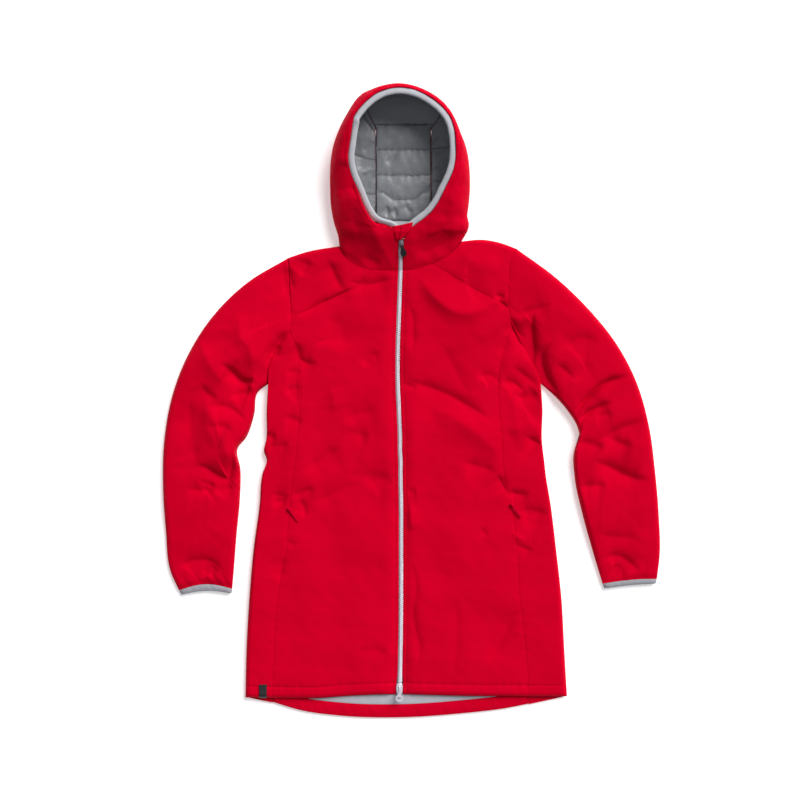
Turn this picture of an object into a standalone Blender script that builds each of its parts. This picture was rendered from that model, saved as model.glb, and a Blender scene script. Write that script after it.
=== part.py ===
"""Long insulated hooded coat, laid flat on its back with the zip closed and the hood open.

Pattern frame, in millimetres: x = 0 on the zip, y = 0 at the front hem with the hood
towards +y, z = 0 on the surface that the coat lies on. Left and right are as seen
from above. Every object is moved by ORIGIN, so that the part's origin is the centre
of its outline. Seams that two pieces share are polylines with the same corners on
both sides, and each piece is drawn back from them by half of GAP.
"""

import math
from collections import namedtuple

import bmesh
import bpy
import numpy as np
from mathutils import Matrix, Vector
from mathutils.geometry import delaunay_2d_cdt

MM = 0.001
ORIGIN = (20.0, 533.0)
GAP = 0.3

# Thicknesses of the laid cloth
BACK_TOP = 6.2
FRONT_UNDER = BACK_TOP + GAP
BODY_TOP = 18.0
SEAM_TOP = 14.5
HEM_TOP = 10.5
EDGE_ROLL = 13.0
UNDER_ROLL = 8.0

# Inside of the back hem, which lies on the back under the front hem
FACING_TOP = 8.2
FACING_WIDTH = 25.0
LINING_REACH = 25.0
HEM_STEP = (30.0, 48.0)

# Front zip
SLOT_HALF = 4.0
SLOT_FLARE = 3.3
FLARE = (20.0, 42.0)
CHAIN_HALF = 3.1
CHAIN_THICK = 3.0
CHAIN_TOP = 14.0
TAPE_THICK = 1.5
CHAIN_START = 22.0
CHAIN_END = 813.0
ZIP_TOP = 840.0
COLLAR_START = 775.0
COLLAR_FOOT = 19.0
COLLAR_RISE = 0.41

# Hood
SHELL_WALL = 3.4
LINING_WALL = 3.2
QUILT_PUFF = 4.0
HOOD_NECK_Y = 835.0
HOOD_CROWN_Y = 1035.0
QUILT_LINES = (866.0, 906.0, 949.5, 997.0, 1043.0)
CROWN_FOOT = 20.0
SIDE_CHANNELS = 3
BINDING_WIDTH = 11.0
BINDING_THICK = 8.0
CUFF_BINDING = 9.0

RED = (0.62, 0.004, 0.02, 1.0)
GREY = (0.40, 0.41, 0.44, 1.0)
PALE_GREY = (0.50, 0.51, 0.54, 1.0)
SILVER = (0.62, 0.62, 0.66, 1.0)
BLACK = (0.015, 0.015, 0.017, 1.0)

Section = namedtuple("Section", "y left_edge left_seam zip_line right_seam right_edge")
SECTIONS = [
    Section(82, -282, -231, 0, 229, 300),
    Section(173, -277, -225, 1, 218, 295),
    Section(265, -269, -209, 1, 213, 285),
    Section(347, -258, -202, 1, 202, 275),
    Section(402, -253, -196, 0, 189, 266),
    Section(429, -245, -192, 0, 187, 263),
    Section(444, -250, -190, -1, 186, 261),
    Section(465, -246, -189, -1, 185, 259),
    Section(520, -245, -184, -3, 180, 260),
]
HEM_CORNERS = {
    "left_edge": (-284, -6),
    "left_seam": (-234, -7),
    "zip_line": (-2, 0),
    "right_seam": (235, -4),
    "right_edge": (305, -4),
}
LINE_TOPS = {
    "left_edge": [(-242, 568)],
    "left_seam": [(-182, 568), (-185, 600), (-193, 639), (-202, 666)],
    "zip_line": [(-5, 568), (-5, 630), (-3, 692), (-1, 748), (0, 775)],
    "right_seam": [(179, 568), (181, 600), (190, 636), (205, 670)],
    "right_edge": [(257, 568)],
}
HEM_CURVES = {
    "left": [(-234, -7), (-147, -7), (-107, -4), (-52, -1), (-9.3, 0)],
    "right": [(235, -4), (110, -3), (5.3, 0)],
}
BACK_HEM = [(-234, -16), (-183, -31), (-110, -41), (1, -44), (109, -37), (200, -26), (235, -19)]

# Armhole from the shoulder to the underarm: the corners that the yoke, the front and
# the side panel share with the sleeve
ARMHOLES = {
    "left": {
        "yoke": [(-205, 799), (-203, 785), (-202, 746), (-199, 690)],
        "front": [(-199, 690), (-202, 666)],
        "side": [(-202, 666), (-220, 641), (-233, 619), (-240, 600), (-242, 568)],
    },
    "right": {
        "yoke": [(213, 815), (204, 800), (197, 750), (197, 710)],
        "front": [(197, 710), (205, 670)],
        "side": [(205, 670), (224, 641), (238, 611), (250, 588), (257, 568)],
    },
}
YOKE_SEAMS = {
    "left": [(-199, 690), (-129, 723), (-67, 759), (-52, 776)],
    "right": [(197, 710), (174, 721), (83, 772), (58, 787)],
}
SHOULDERS = {
    "left": [(-205, 799), (-171, 810), (-112, 820)],
    "right": [(213, 815), (187, 825), (149, 832), (112, 829)],
}
# Neck seam from the shoulder to the zip; the yoke takes it as far as YOKE_NECK
NECKS = {
    "left": [(-112, 820), (-107, 809), (-96, 794), (-76, 782), (-52, 776), (-28, 775), (-4, 775)],
    "right": [(112, 829), (106, 820), (96, 809), (78, 796), (58, 787), (30, 777.5), (4, 775)],
}
YOKE_NECK = 5
YOKE_ROWS = 10

SleeveStation = namedtuple("SleeveStation", "outer_x outer_y inner_x inner_y top")
SLEEVES = {
    "left": [
        SleeveStation(-205, 799, -242, 568, 17),
        SleeveStation(-280, 754, -261, 553, 23),
        SleeveStation(-342, 694, -268, 511, 24),
        SleeveStation(-390, 619, -283, 469, 24),
        SleeveStation(-419, 542, -298, 450, 24),
        SleeveStation(-433, 460, -293, 411, 23),
        SleeveStation(-435, 383, -294, 356, 22),
        SleeveStation(-430, 301, -300, 292, 20),
        SleeveStation(-421, 224, -305, 228, 16),
        SleeveStation(-406, 190, -308, 193, 12),
    ],
    "right": [
        SleeveStation(213, 815, 257, 568, 17),
        SleeveStation(284, 763, 284, 544, 23),
        SleeveStation(348, 701, 308, 516, 24),
        SleeveStation(397, 639, 324, 489, 24),
        SleeveStation(433, 569, 328, 470, 24),
        SleeveStation(455, 491, 318, 444, 23),
        SleeveStation(466, 411, 319, 396, 22),
        SleeveStation(473, 329, 333, 330, 20),
        SleeveStation(475, 256, 351, 265, 16),
        SleeveStation(470, 211, 370, 202, 12),
    ],
}

# Round the hood from the left of the zip over the crown to the right of the zip: the
# widest point, the rim, the seam with the centre strip, and how far in from the widest
# point the cloth leaves the ground
HoodColumn = namedtuple("HoodColumn", "out_x out_y out_z rim_x rim_y rim_z seam_x seam_y lift")
HOOD_LEFT = [
    HoodColumn(-112, 820, 9.5, -4, 775, 19, -45, 835, 12),
    HoodColumn(-114, 838, 14, -4.5, 807, 32, -45, 845, 15),
    HoodColumn(-117, 848, 16, -8, 839, 45, -45, 852, 18),
    HoodColumn(-120, 857, 18, -16, 850, 48, -45, 860, 22),
    HoodColumn(-124, 874, 21, -44, 857, 51, -45, 875, 26),
    HoodColumn(-127, 895, 25, -62, 881, 56, -45, 894, 30),
    HoodColumn(-128, 920, 30, -76, 914, 63, -45, 918, 36),
    HoodColumn(-128, 949, 34, -90, 949, 70, -45, 944, 38),
    HoodColumn(-126, 977, 37, -94, 975, 75, -45, 968, 40),
    HoodColumn(-121, 1002, 39, -91, 998, 79, -45, 988, 40),
    HoodColumn(-113, 1024, 41, -88, 1019, 82, -45, 1006, 40),
    HoodColumn(-99, 1052, 43, -86, 1034, 84, -45, 1021, 40),
    HoodColumn(-73, 1089, 46, -83, 1047, 85, -45, 1035, 44),
]
HOOD_CROWN = [
    HoodColumn(-52, 1099, 47, -64, 1066, 86, -30.5, 1035, 54),
    HoodColumn(-30, 1106, 48, -38, 1084, 86, -16, 1035, 60),
    HoodColumn(-5, 1109, 48, -7, 1092, 86, -2, 1035, 62),
    HoodColumn(21, 1105.5, 48, 24, 1088, 86, 12.5, 1035, 60),
    HoodColumn(45, 1097, 47, 51, 1074, 86, 27, 1035, 56),
    HoodColumn(67, 1084, 46, 72, 1057, 86, 41.5, 1035, 50),
]
HOOD_RIGHT = [
    HoodColumn(85, 1068, 46, 86, 1038, 85, 56, 1035, 42),
    HoodColumn(98, 1047, 45, 91, 1028, 84, 56, 1020, 40),
    HoodColumn(109, 1021, 43, 95, 1014, 82, 56, 1004, 40),
    HoodColumn(119, 995, 41, 96, 992, 80, 56, 984, 40),
    HoodColumn(124, 970, 38, 95, 967, 76, 56, 963, 38),
    HoodColumn(126, 945, 35, 90, 945, 72, 56, 941, 38),
    HoodColumn(126, 916, 31, 77, 916, 65, 56, 915, 36),
    HoodColumn(124, 891, 27, 69, 896, 60, 56, 892, 30),
    HoodColumn(122, 874, 23, 53, 874, 54, 56, 875, 26),
    HoodColumn(125, 857, 19, 21, 850, 48, 56, 861, 22),
    HoodColumn(123, 848, 17, 10, 839, 45, 56, 853, 18),
    HoodColumn(120, 842, 14, 5, 807, 32, 56, 846, 15),
    HoodColumn(112, 829, 9.5, 4, 775, 19, 56, 835, 12),
]

# The largest folds: ends, how far the middle bows to the left of the run, height
# (below zero for a trough) and half-width
Fold = namedtuple("Fold", "x0 y0 x1 y1 bow height width")
FOLDS = [
    Fold(24, 762, 172, 702, -42, -5.0, 14),
    Fold(6, 588, 158, 507, -4, -4.5, 13),
    Fold(6, 572, 130, 520, 0, 2.5, 14),
    Fold(-92, 758, -14, 762, 0, -4.0, 10),
    Fold(52, 500, 180, 437, 4, -3.0, 14),
    Fold(118, 421, 200, 372, -8, -3.0, 10),
    Fold(-154, 356, -8, 390, -10, -2.5, 14),
    Fold(-110, 496, -44, 520, 6, -2.0, 12),
    Fold(-128, 552, -138, 516, 0, -3.0, 10),
    Fold(-184, 616, -152, 602, 0, -3.5, 12),
    Fold(146, 580, 186, 573, 4, -3.5, 10),
    Fold(-236, 500, -182, 545, 8, -4.0, 12),
    Fold(207, 596, 243, 606, 0, -4.0, 10),
    Fold(190, 572, 252, 552, -6, -4.0, 10),
    Fold(213, 332, 268, 332, 0, -2.5, 12),
    Fold(-312, 697, -290, 626, 10, -6.0, 16),
    Fold(-325, 600, -262, 563, 4, -9.0, 13),
    Fold(-390, 560, -350, 520, 0, -5.0, 26),
    Fold(-356, 516, -294, 504, 10, -5.0, 12),
    Fold(-370, 415, -316, 392, 0, -8.0, 12),
    Fold(-316, 392, -303, 446, 0, -7.0, 11),
    Fold(-392, 235, -338, 243, 8, -3.0, 10),
    Fold(240, 692, 246, 604, 0, -10.0, 10),
    Fold(276, 640, 284, 552, -10, -9.0, 13),
    Fold(236, 702, 276, 714, 6, -4.0, 9),
    Fold(328, 526, 416, 579, 16, -6.0, 9),
    Fold(340, 508, 384, 532, 6, -5.0, 9),
    Fold(358, 420, 434, 392, -4, -6.0, 12),
    Fold(326, 380, 378, 386, 0, -4.0, 11),
    Fold(370, 240, 434, 232, 12, -3.0, 10),
]


def even(start, stop, count):
    """Evenly spaced positions, both ends included."""
    return np.linspace(start, stop, count)


def steps(points):
    """Running length along a polyline."""
    return np.concatenate([[0.0], np.cumsum(np.linalg.norm(np.diff(points, axis=0), axis=1))])


def along(points, shares):
    """Places on a polyline, at shares of its length."""
    points = np.asarray(points, float)
    run = steps(points)
    return np.column_stack([np.interp(np.asarray(shares) * run[-1], run, axis) for axis in points.T])


def through(points, shares):
    """Places on a smooth curve through the points, at shares of their running length."""
    points = np.asarray(points, float)
    if len(points) == 2:
        return along(points, shares)
    run = steps(points)
    slope = np.gradient(points, run, axis=0)
    place = np.asarray(shares) * run[-1]
    at = np.clip(np.searchsorted(run, place, side="right") - 1, 0, len(run) - 2)
    width = (run[at + 1] - run[at])[:, None]
    t = (place - run[at])[:, None] / width
    start, end = points[at], points[at + 1]
    into, out = slope[at] * width, slope[at + 1] * width
    return (
        start * (1 + 2 * t) * (1 - t) ** 2
        + into * t * (1 - t) ** 2
        + end * t**2 * (3 - 2 * t)
        - out * t**2 * (1 - t)
    )


def filled(points, count):
    """The polyline with points added along its first side until it has the count."""
    points = np.asarray(points, float)
    extra = along(points[:2], even(0, 1, count - len(points) + 2)[1:-1])
    return np.vstack([points[:1], extra, points[1:]])


def halved(points):
    """The polyline with a point added at the middle of each side."""
    points = np.asarray(points, float)
    middle = (points[1:] + points[:-1]) / 2
    both = np.empty((len(points) + len(middle), points.shape[1]))
    both[0::2], both[1::2] = points, middle
    return both


def smooth_step(value, low, high):
    """0 below low and 1 above high, with an easy slope between them."""
    t = np.clip((value - low) / (high - low), 0, 1)
    return t * t * (3 - 2 * t)


def patch(left, right, bottom, top, hold=1.0):
    """Plan grid between four edges: rows run from bottom to top, columns from left to right.

    Each row is spaced as a blend of the bottom and top edges, and hold above 1 keeps
    those edges' own shape close to them.
    """
    rise = (steps(left) / steps(left)[-1] + steps(right) / steps(right)[-1])[:, None, None] / 2
    share_low = (steps(bottom) / steps(bottom)[-1])[None, :, None]
    share_high = (steps(top) / steps(top)[-1])[None, :, None]
    share = share_low * (1 - rise) + share_high * rise
    grid = left[:, None] * (1 - share) + right[:, None] * share
    low = bottom[None] - (left[0] * (1 - share_low) + right[0] * share_low)
    high = top[None] - (left[-1] * (1 - share_high) + right[-1] * share_high)
    return grid + low * (1 - rise) ** hold + high * rise**hold


def drawn_back(grid, distance=GAP / 2):
    """The grid with each of its four edges moved inwards, square to the edge."""
    shift = np.zeros_like(grid)
    for axis in (0, 1):
        rows, moved = np.moveaxis(grid, axis, 0), np.moveaxis(shift, axis, 0)
        for edge, inner in ((0, 1), (-1, -2)):
            run = np.gradient(rows[edge], axis=0)
            run /= np.linalg.norm(run, axis=-1, keepdims=True)
            step = rows[inner] - rows[edge]
            step -= (step * run).sum(axis=-1, keepdims=True) * run
            step *= distance / np.linalg.norm(step, axis=-1, keepdims=True)
            step[0], step[-1] = step[1], step[-2]
            moved[edge] += step
    return grid + shift


def fold_height(plan):
    """Height that the folds add at each place of a plan grid."""
    total = np.zeros(plan.shape[:-1])
    for fold in FOLDS:
        start = np.array([fold.x0, fold.y0], float)
        run = np.array([fold.x1, fold.y1], float) - start
        length = np.linalg.norm(run)
        run /= length
        away = plan - start
        t = away @ run / length
        side = away @ np.array([-run[1], run[0]]) - fold.bow * 4 * t * (1 - t)
        ends = smooth_step(t, -0.1, 0.25) * (1 - smooth_step(t, 0.75, 1.1))
        total += fold.height * ends * np.exp(-((side / fold.width) ** 2))
    return total


def rolled(distance, edge, full, roll):
    """Quarter-round rise from edge height at distance 0 to full height at the roll's end."""
    inward = 1 - np.clip(distance / roll, 0, 1)
    return edge + (full - edge) * np.sqrt(1 - inward**2)


def finish(name, colour, roughness=0.6, metallic=0.0):
    """A plain material, made once for each name."""
    material = bpy.data.materials.get(name)
    if material is None:
        material = bpy.data.materials.new(name)
        material.use_nodes = True
        shader = material.node_tree.nodes["Principled BSDF"]
        shader.inputs["Base Color"].default_value = colour
        shader.inputs["Roughness"].default_value = roughness
        shader.inputs["Metallic"].default_value = metallic
    return material


def red_shell():
    return finish("red_shell_cloth", RED, 0.62)


def grey_lining():
    return finish("grey_quilted_lining", GREY, 0.6)


def grey_trim():
    return finish("grey_elastic_binding", PALE_GREY, 0.7)


def silver_metal():
    return finish("silver_zip_metal", SILVER, 0.35, 0.9)


class Form:
    """Faces being gathered for one closed solid."""

    def __init__(self):
        self.points = []
        self.faces = []

    def lay(self, points):
        """Adds points of any grid shape and returns their numbers in that shape."""
        points = np.asarray(points, float)
        first = len(self.points)
        self.points.extend(points.reshape(-1, 3))
        return np.arange(first, first + points[..., 0].size).reshape(points.shape[:-1])

    def skin(self, grid):
        """Triangles over a grid of point numbers, all cut along the same diagonal."""
        a, b, c, d = grid[:-1, :-1], grid[1:, :-1], grid[1:, 1:], grid[:-1, 1:]
        for corners in ((a, b, c), (a, c, d)):
            self.faces.extend(np.stack(corners, axis=-1).reshape(-1, 3).tolist())

    def stitch(self, first, second, keys):
        """Triangles between two polylines; keys are the second's matches in the first."""
        a = b = 0
        while a < len(first) - 1 or b < len(second) - 1:
            if a < len(first) - 1 and (b == len(second) - 1 or a + 1 <= keys[b + 1]):
                self.faces.append([first[a], second[b], first[a + 1]])
                a += 1
            else:
                self.faces.append([first[a], second[b], second[b + 1]])
                b += 1

    def cap(self, loop):
        """One flat face across a closed loop."""
        self.faces.append(list(loop))

    def fill(self, loop, inner=(), height=None):
        """Triangles across a loop of laid points and the plan points inside it."""
        plan = [Vector(self.points[i][:2]) for i in loop] + [Vector(p) for p in inner]
        found = delaunay_2d_cdt(plan, [], [list(range(len(loop)))], 1, 1e-6)
        verts, faces, origins = found[0], found[2], found[3]
        numbers = []
        for vert, origin in zip(verts, origins):
            if origin[0] < len(loop):
                numbers.append(loop[origin[0]])
            else:
                numbers.append(len(self.points))
                self.points.append(np.array([vert[0], vert[1], height(vert[1])]))
        self.faces.extend([[numbers[i] for i in face] for face in faces])

    def object(self, name, material, smooth=True, origin=(0.0, 0.0, 0.0), turn=None):
        """Makes the object, with its origin where its points' own zero is placed."""
        mesh = bpy.data.meshes.new(name)
        points = [tuple(float(c) * MM for c in point) for point in self.points]
        mesh.from_pydata(points, [], [[int(i) for i in face] for face in self.faces])
        work = bmesh.new()
        work.from_mesh(mesh)
        bmesh.ops.recalc_face_normals(work, faces=work.faces[:])
        if work.calc_volume(signed=True) < 0:
            bmesh.ops.reverse_faces(work, faces=work.faces[:])
        work.to_mesh(mesh)
        work.free()
        mesh.materials.append(material)
        if smooth:
            mesh.shade_smooth()
            mesh.set_sharp_from_angle(angle=math.radians(50))
        item = bpy.data.objects.new(name, mesh)
        item.location = [(origin[0] - ORIGIN[0]) * MM, (origin[1] - ORIGIN[1]) * MM, origin[2] * MM]
        if turn is not None:
            item.rotation_euler = turn.to_euler()
        bpy.context.collection.objects.link(item)
        return item


def slab(name, top, under, material, inner_rows=()):
    """Closed solid under a grid, down to a plain underside of the same outline."""
    form = Form()
    grid = form.lay(top)
    form.skin(grid)
    edge = np.concatenate([grid[0, :-1], grid[:-1, -1], grid[-1, :0:-1], grid[:0:-1, 0]])
    low = np.array([form.points[i] for i in edge])
    low[:, 2] = under(low[:, 1])
    base = form.lay(low)
    for a, b in zip(range(len(edge)), np.roll(range(len(edge)), -1)):
        form.faces.append([edge[a], base[a], base[b], edge[b]])
    inner = top[list(inner_rows)][:, 3:-2:4, :2].reshape(-1, 2)
    form.fill(list(base), [tuple(p) for p in inner], under)
    return form.object(name, material)


def wall(name, outer, inner, material, keys=None):
    """Closed wall between two grids with the same rows, joined along every edge.

    The keys are the outer columns that the inner columns belong to.
    """
    form = Form()
    out, into = form.lay(outer), form.lay(inner)
    form.skin(out)
    form.skin(into)
    for column in (0, -1):
        form.skin(np.stack([out[:, column], into[:, column]], axis=1))
    for row in (0, -1):
        form.stitch(out[row], into[row], keys or range(into.shape[1]))
    return form.object(name, material)


def tube(name, outer, inner, material, keys):
    """Closed wall of a flattened tube: each row of outer and inner is a closed loop."""
    form = Form()
    out, into = form.lay(outer), form.lay(inner)
    out = np.concatenate([out, out[:, :1]], axis=1)
    into = np.concatenate([into, into[:, :1]], axis=1)
    form.skin(out)
    form.skin(into)
    for row in (0, -1):
        form.stitch(out[row], into[row], keys)
    return form.object(name, material)


def rod(name, loops, material):
    """Closed solid through a row of loops with flat ends."""
    form = Form()
    grid = form.lay(loops)
    form.skin(np.concatenate([grid, grid[:, :1]], axis=1))
    form.cap(grid[0])
    form.cap(grid[-1])
    return form.object(name, material)


def plate(name, outline, low, high, material):
    """Closed solid on a plan outline; low and high are heights or functions of (x, y)."""
    outline = np.asarray(outline, float)
    form = Form()
    rings = []
    for level in (low, high):
        height = level(outline[:, 0], outline[:, 1]) if callable(level) else level
        rings.append(form.lay(np.column_stack([outline, np.broadcast_to(height, len(outline))])))
    for ring in rings:
        form.fill(list(ring))
    for a in range(len(outline)):
        b = (a + 1) % len(outline)
        form.faces.append([rings[0][a], rings[0][b], rings[1][b], rings[1][a]])
    return form.object(name, material, smooth=False)


# ------------------------------------------------------------------ shared lines


def body_line(column):
    """A line that runs up the body: hem corner, sections, then its own top points."""
    middle = [(getattr(section, column), section.y) for section in SECTIONS]
    return [HEM_CORNERS[column]] + middle + LINE_TOPS[column]


ROW_DISTANCES = [0, 1.6, 5, 11, 22]


def body_rows():
    """Shares of the seam's length at which the body's rows lie, close together at the hem."""
    length = steps(np.asarray(body_line("left_seam"), float))[-1]
    near = np.array(ROW_DISTANCES + list(HEM_STEP), float) / length
    return np.concatenate([near, even(68 / length, 1, 30)])


def front_under(y):
    """Underside of the fronts: it steps up over the facing and lining at the back hem."""
    return FRONT_UNDER + (FACING_TOP - BACK_TOP) * (1 - smooth_step(np.asarray(y), *HEM_STEP))


def dropped(line, rows, corner):
    """A line whose hem end is let down to a corner of the back's longer hem."""
    line = line.copy()
    line[..., 1] += (1 - smooth_step(rows, 0, 0.06)) * (corner[1] - line[0, 1])
    return line


def sign_of(side):
    return -1 if side == "left" else 1


def slot_half(y):
    """Half-width of the gap between the two fronts, wider round the bottom slider."""
    return SLOT_HALF + SLOT_FLARE * (1 - smooth_step(np.asarray(y, float), *FLARE))


def collar_line(y):
    """Height of the collar's front edge, which climbs from the neck seam to the chin."""
    return COLLAR_FOOT + COLLAR_RISE * np.clip(np.asarray(y, float) - COLLAR_START, 0, None)


# ------------------------------------------------------------------ body


def front_panel(side):
    """Centre front: from the princess seam to the zip, and from the hem to yoke and neck."""
    rows = body_rows()
    seam = through(body_line(side + "_seam"), rows)
    tall = np.vstack([seam, ARMHOLES[side]["front"][0]])
    zip_side = through(body_line("zip_line"), np.append(rows * 0.955, 1.0))
    zip_side[:, 0] += sign_of(side) * slot_half(zip_side[:, 1])
    yoke = halved(halved(YOKE_SEAMS[side]))
    neck = np.array(NECKS[side][YOKE_NECK:], float)
    top = np.vstack([yoke, neck])
    hem_shares = np.concatenate([even(0, 0.93, len(top) - 2), [0.98, 1.0]])
    hem = through(HEM_CURVES[side], hem_shares)
    tall[0], zip_side[0], zip_side[-1] = hem[0], hem[-1], top[-1]
    plan = drawn_back(patch(tall, zip_side, hem, top))
    heights = BODY_TOP + fold_height(plan)
    hem_gap = np.linalg.norm(plan - plan[:1], axis=-1)
    heights = rolled(hem_gap, HEM_TOP, heights, EDGE_ROLL)
    edge = np.minimum(heights, SEAM_TOP)
    heights[-1], heights[:, 0], heights[:, -1] = edge[-1], edge[:, 0], edge[:, -1]
    inner = [5, 6, 12, 18, 24, 30]
    slab("front_" + side, np.dstack([plan, heights]), front_under, red_shell(), inner)


def yoke_panel(side):
    """Front yoke: from the shoulder's edge down to the yoke seam."""
    neck = filled(halved(NECKS[side][:YOKE_NECK]), YOKE_ROWS)
    armhole = filled(halved(ARMHOLES[side]["yoke"]), YOKE_ROWS)
    shoulder = halved(halved(along(SHOULDERS[side], even(0, 1, 4))))
    seam = halved(halved(YOKE_SEAMS[side]))
    plan = drawn_back(patch(armhole, neck, shoulder, seam))
    heights = BODY_TOP + fold_height(plan)
    edge_gap = np.linalg.norm(plan - plan[:1], axis=-1)
    heights = rolled(edge_gap, BACK_TOP + 2.0, heights, EDGE_ROLL)
    for edge in (np.s_[-1], np.s_[:, 0], np.s_[:, -1]):
        heights[edge] = np.minimum(heights[edge], SEAM_TOP)
    slab("yoke_" + side, np.dstack([plan, heights]), front_under, red_shell(), [3, 5])


def side_panel(side):
    """Side panel: a C in section, from the princess seam round the edge to the back seam."""
    rows = body_rows()
    rows = rows / rows[-1]
    seam = through(body_line(side + "_seam"), rows)
    edge = through(body_line(side + "_edge"), rows)
    top = np.array(ARMHOLES[side]["side"], float)
    last = top[-1] - top[-2]
    last_length = np.linalg.norm(last)
    tucked = [top[-1] - last / last_length * d for d in (EDGE_ROLL, EDGE_ROLL / 2, 1.7)]
    top = np.vstack([top[:-1], tucked, top[-1:]])
    width = np.linalg.norm(edge[0] - seam[0])
    near = [width - EDGE_ROLL, width - EDGE_ROLL / 2, width - 1.7, width]
    hem_shares = np.concatenate([even(0, width - EDGE_ROLL, len(top) - 3)[:-1], near]) / width
    hem = along([seam[0], edge[0]], hem_shares)
    plan = drawn_back(patch(seam, edge, hem, top, hold=2.0))
    gap = np.linalg.norm(plan - plan[:, -1:], axis=-1)
    hem_gap = np.linalg.norm(plan - plan[:1], axis=-1)
    heights = BODY_TOP + fold_height(plan)
    heights = rolled(gap, UNDER_ROLL, heights, EDGE_ROLL)
    heights = rolled(hem_gap, np.minimum(heights, HEM_TOP), heights, EDGE_ROLL)
    heights[-1] = np.minimum(heights[-1], SEAM_TOP)
    heights[:, 0] = np.minimum(heights[:, 0], SEAM_TOP)
    over = np.dstack([plan, heights])

    # The under layer comes back beneath, with its own hem that drops to the back's
    under_plan = plan[:, ::-1][:, 1:].copy()
    corner = BACK_HEM[0] if side == "left" else BACK_HEM[-1]
    drop = dropped(seam, rows, corner)[:, 1] - seam[:, 1]
    under_plan[..., 1] += np.linspace(0, 1, under_plan.shape[1]) * drop[:, None]
    under_gap = np.linalg.norm(under_plan - plan[:, -1:], axis=-1)
    low = UNDER_ROLL - rolled(under_gap, 0, UNDER_ROLL, UNDER_ROLL)
    outer = np.concatenate([over, np.dstack([under_plan, low])], axis=1)

    # Plain inside: a flat slit between the two layers
    turn = 4
    slit_top = np.dstack([plan[:, [0, turn]], np.repeat(front_under(plan[:, :1, 1]), 2, axis=1)])
    slit_low = np.dstack([under_plan[:, [-1]], np.full((len(rows), 1), BACK_TOP)])
    turn_low = np.dstack([plan[:, [turn]], np.full((len(rows), 1), BACK_TOP)])
    inner = np.concatenate([slit_top, turn_low, slit_low], axis=1)
    last = outer.shape[1] - 1
    wall("side_" + side, outer, inner, red_shell(), [0, turn, last - turn, last])


def back_outline(hem):
    """Outline of the back, anticlockwise from the left hem corner, with a given hem."""
    rows = body_rows()
    rows = rows / rows[-1]
    seams = {
        side: dropped(through(body_line(side + "_seam"), rows), rows, corner)[1:]
        for side, corner in (("left", hem[0]), ("right", hem[-1]))
    }
    armholes = {
        side: np.array(ARMHOLES[side]["front"][::-1][1:] + ARMHOLES[side]["yoke"][::-1][1:], float)
        for side in ("left", "right")
    }
    neck = [hood_plan(HOOD_LEFT[0], part) for part in ("ground", "seam")]
    neck += [hood_plan(HOOD_RIGHT[-1], part) for part in ("seam", "ground")]
    neck = np.array(neck) - [0, 2 * GAP]
    sides = {s: np.vstack([seams[s], armholes[s], SHOULDERS[s][1:]]) for s in ("left", "right")}
    return np.vstack([hem, sides["right"], neck[::-1], sides["left"][::-1]])


def hood_plan(column, part):
    """Plan point of a hood column: where it leaves the ground, or its seam."""
    out = np.array([column.out_x, column.out_y], float)
    seam = np.array([column.seam_x, column.seam_y], float)
    if part == "seam":
        return seam
    return out + (seam - out) / np.linalg.norm(seam - out) * column.lift


def shrunk(outline, distance):
    """Outline with every side moved inwards; the outline runs anticlockwise."""
    outline = np.asarray(outline, float)
    before, after = np.roll(outline, 1, axis=0), np.roll(outline, -1, axis=0)
    normals = []
    for start, end in ((before, outline), (outline, after)):
        step = (end - start) / np.linalg.norm(end - start, axis=1, keepdims=True)
        normals.append(np.column_stack([-step[:, 1], step[:, 0]]))
    cosine = np.clip((normals[0] * normals[1]).sum(axis=1), -0.5, 1)
    return outline + distance * (normals[0] + normals[1]) / (1 + cosine)[:, None]


def back_panel():
    """Back, flat on the ground, with the tail that drops below the fronts."""
    hem = through(BACK_HEM, even(0, 1, 25))
    plate("back_panel", shrunk(back_outline(hem), GAP / 2), 0.0, BACK_TOP, red_shell())


def hem_inside():
    """Red facing along the back hem and the strip of grey lining that shows above it."""
    hem = through(BACK_HEM, even(0.01, 0.99, 25))
    low, high = BACK_TOP + GAP, FACING_TOP
    rise = np.array([0, 1.0])
    facing = np.vstack([hem + 1.5 * rise, (hem + FACING_WIDTH * rise)[::-1]])
    plate("back_hem_facing", facing, low, high, red_shell())
    edge = hem[2:-2] + (FACING_WIDTH + GAP) * rise
    top = [(edge[-1, 0], LINING_REACH), (edge[0, 0], LINING_REACH)]
    plate("back_hem_lining", np.vstack([edge, top]), low, high, grey_lining())


# ------------------------------------------------------------------ sleeves


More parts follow.
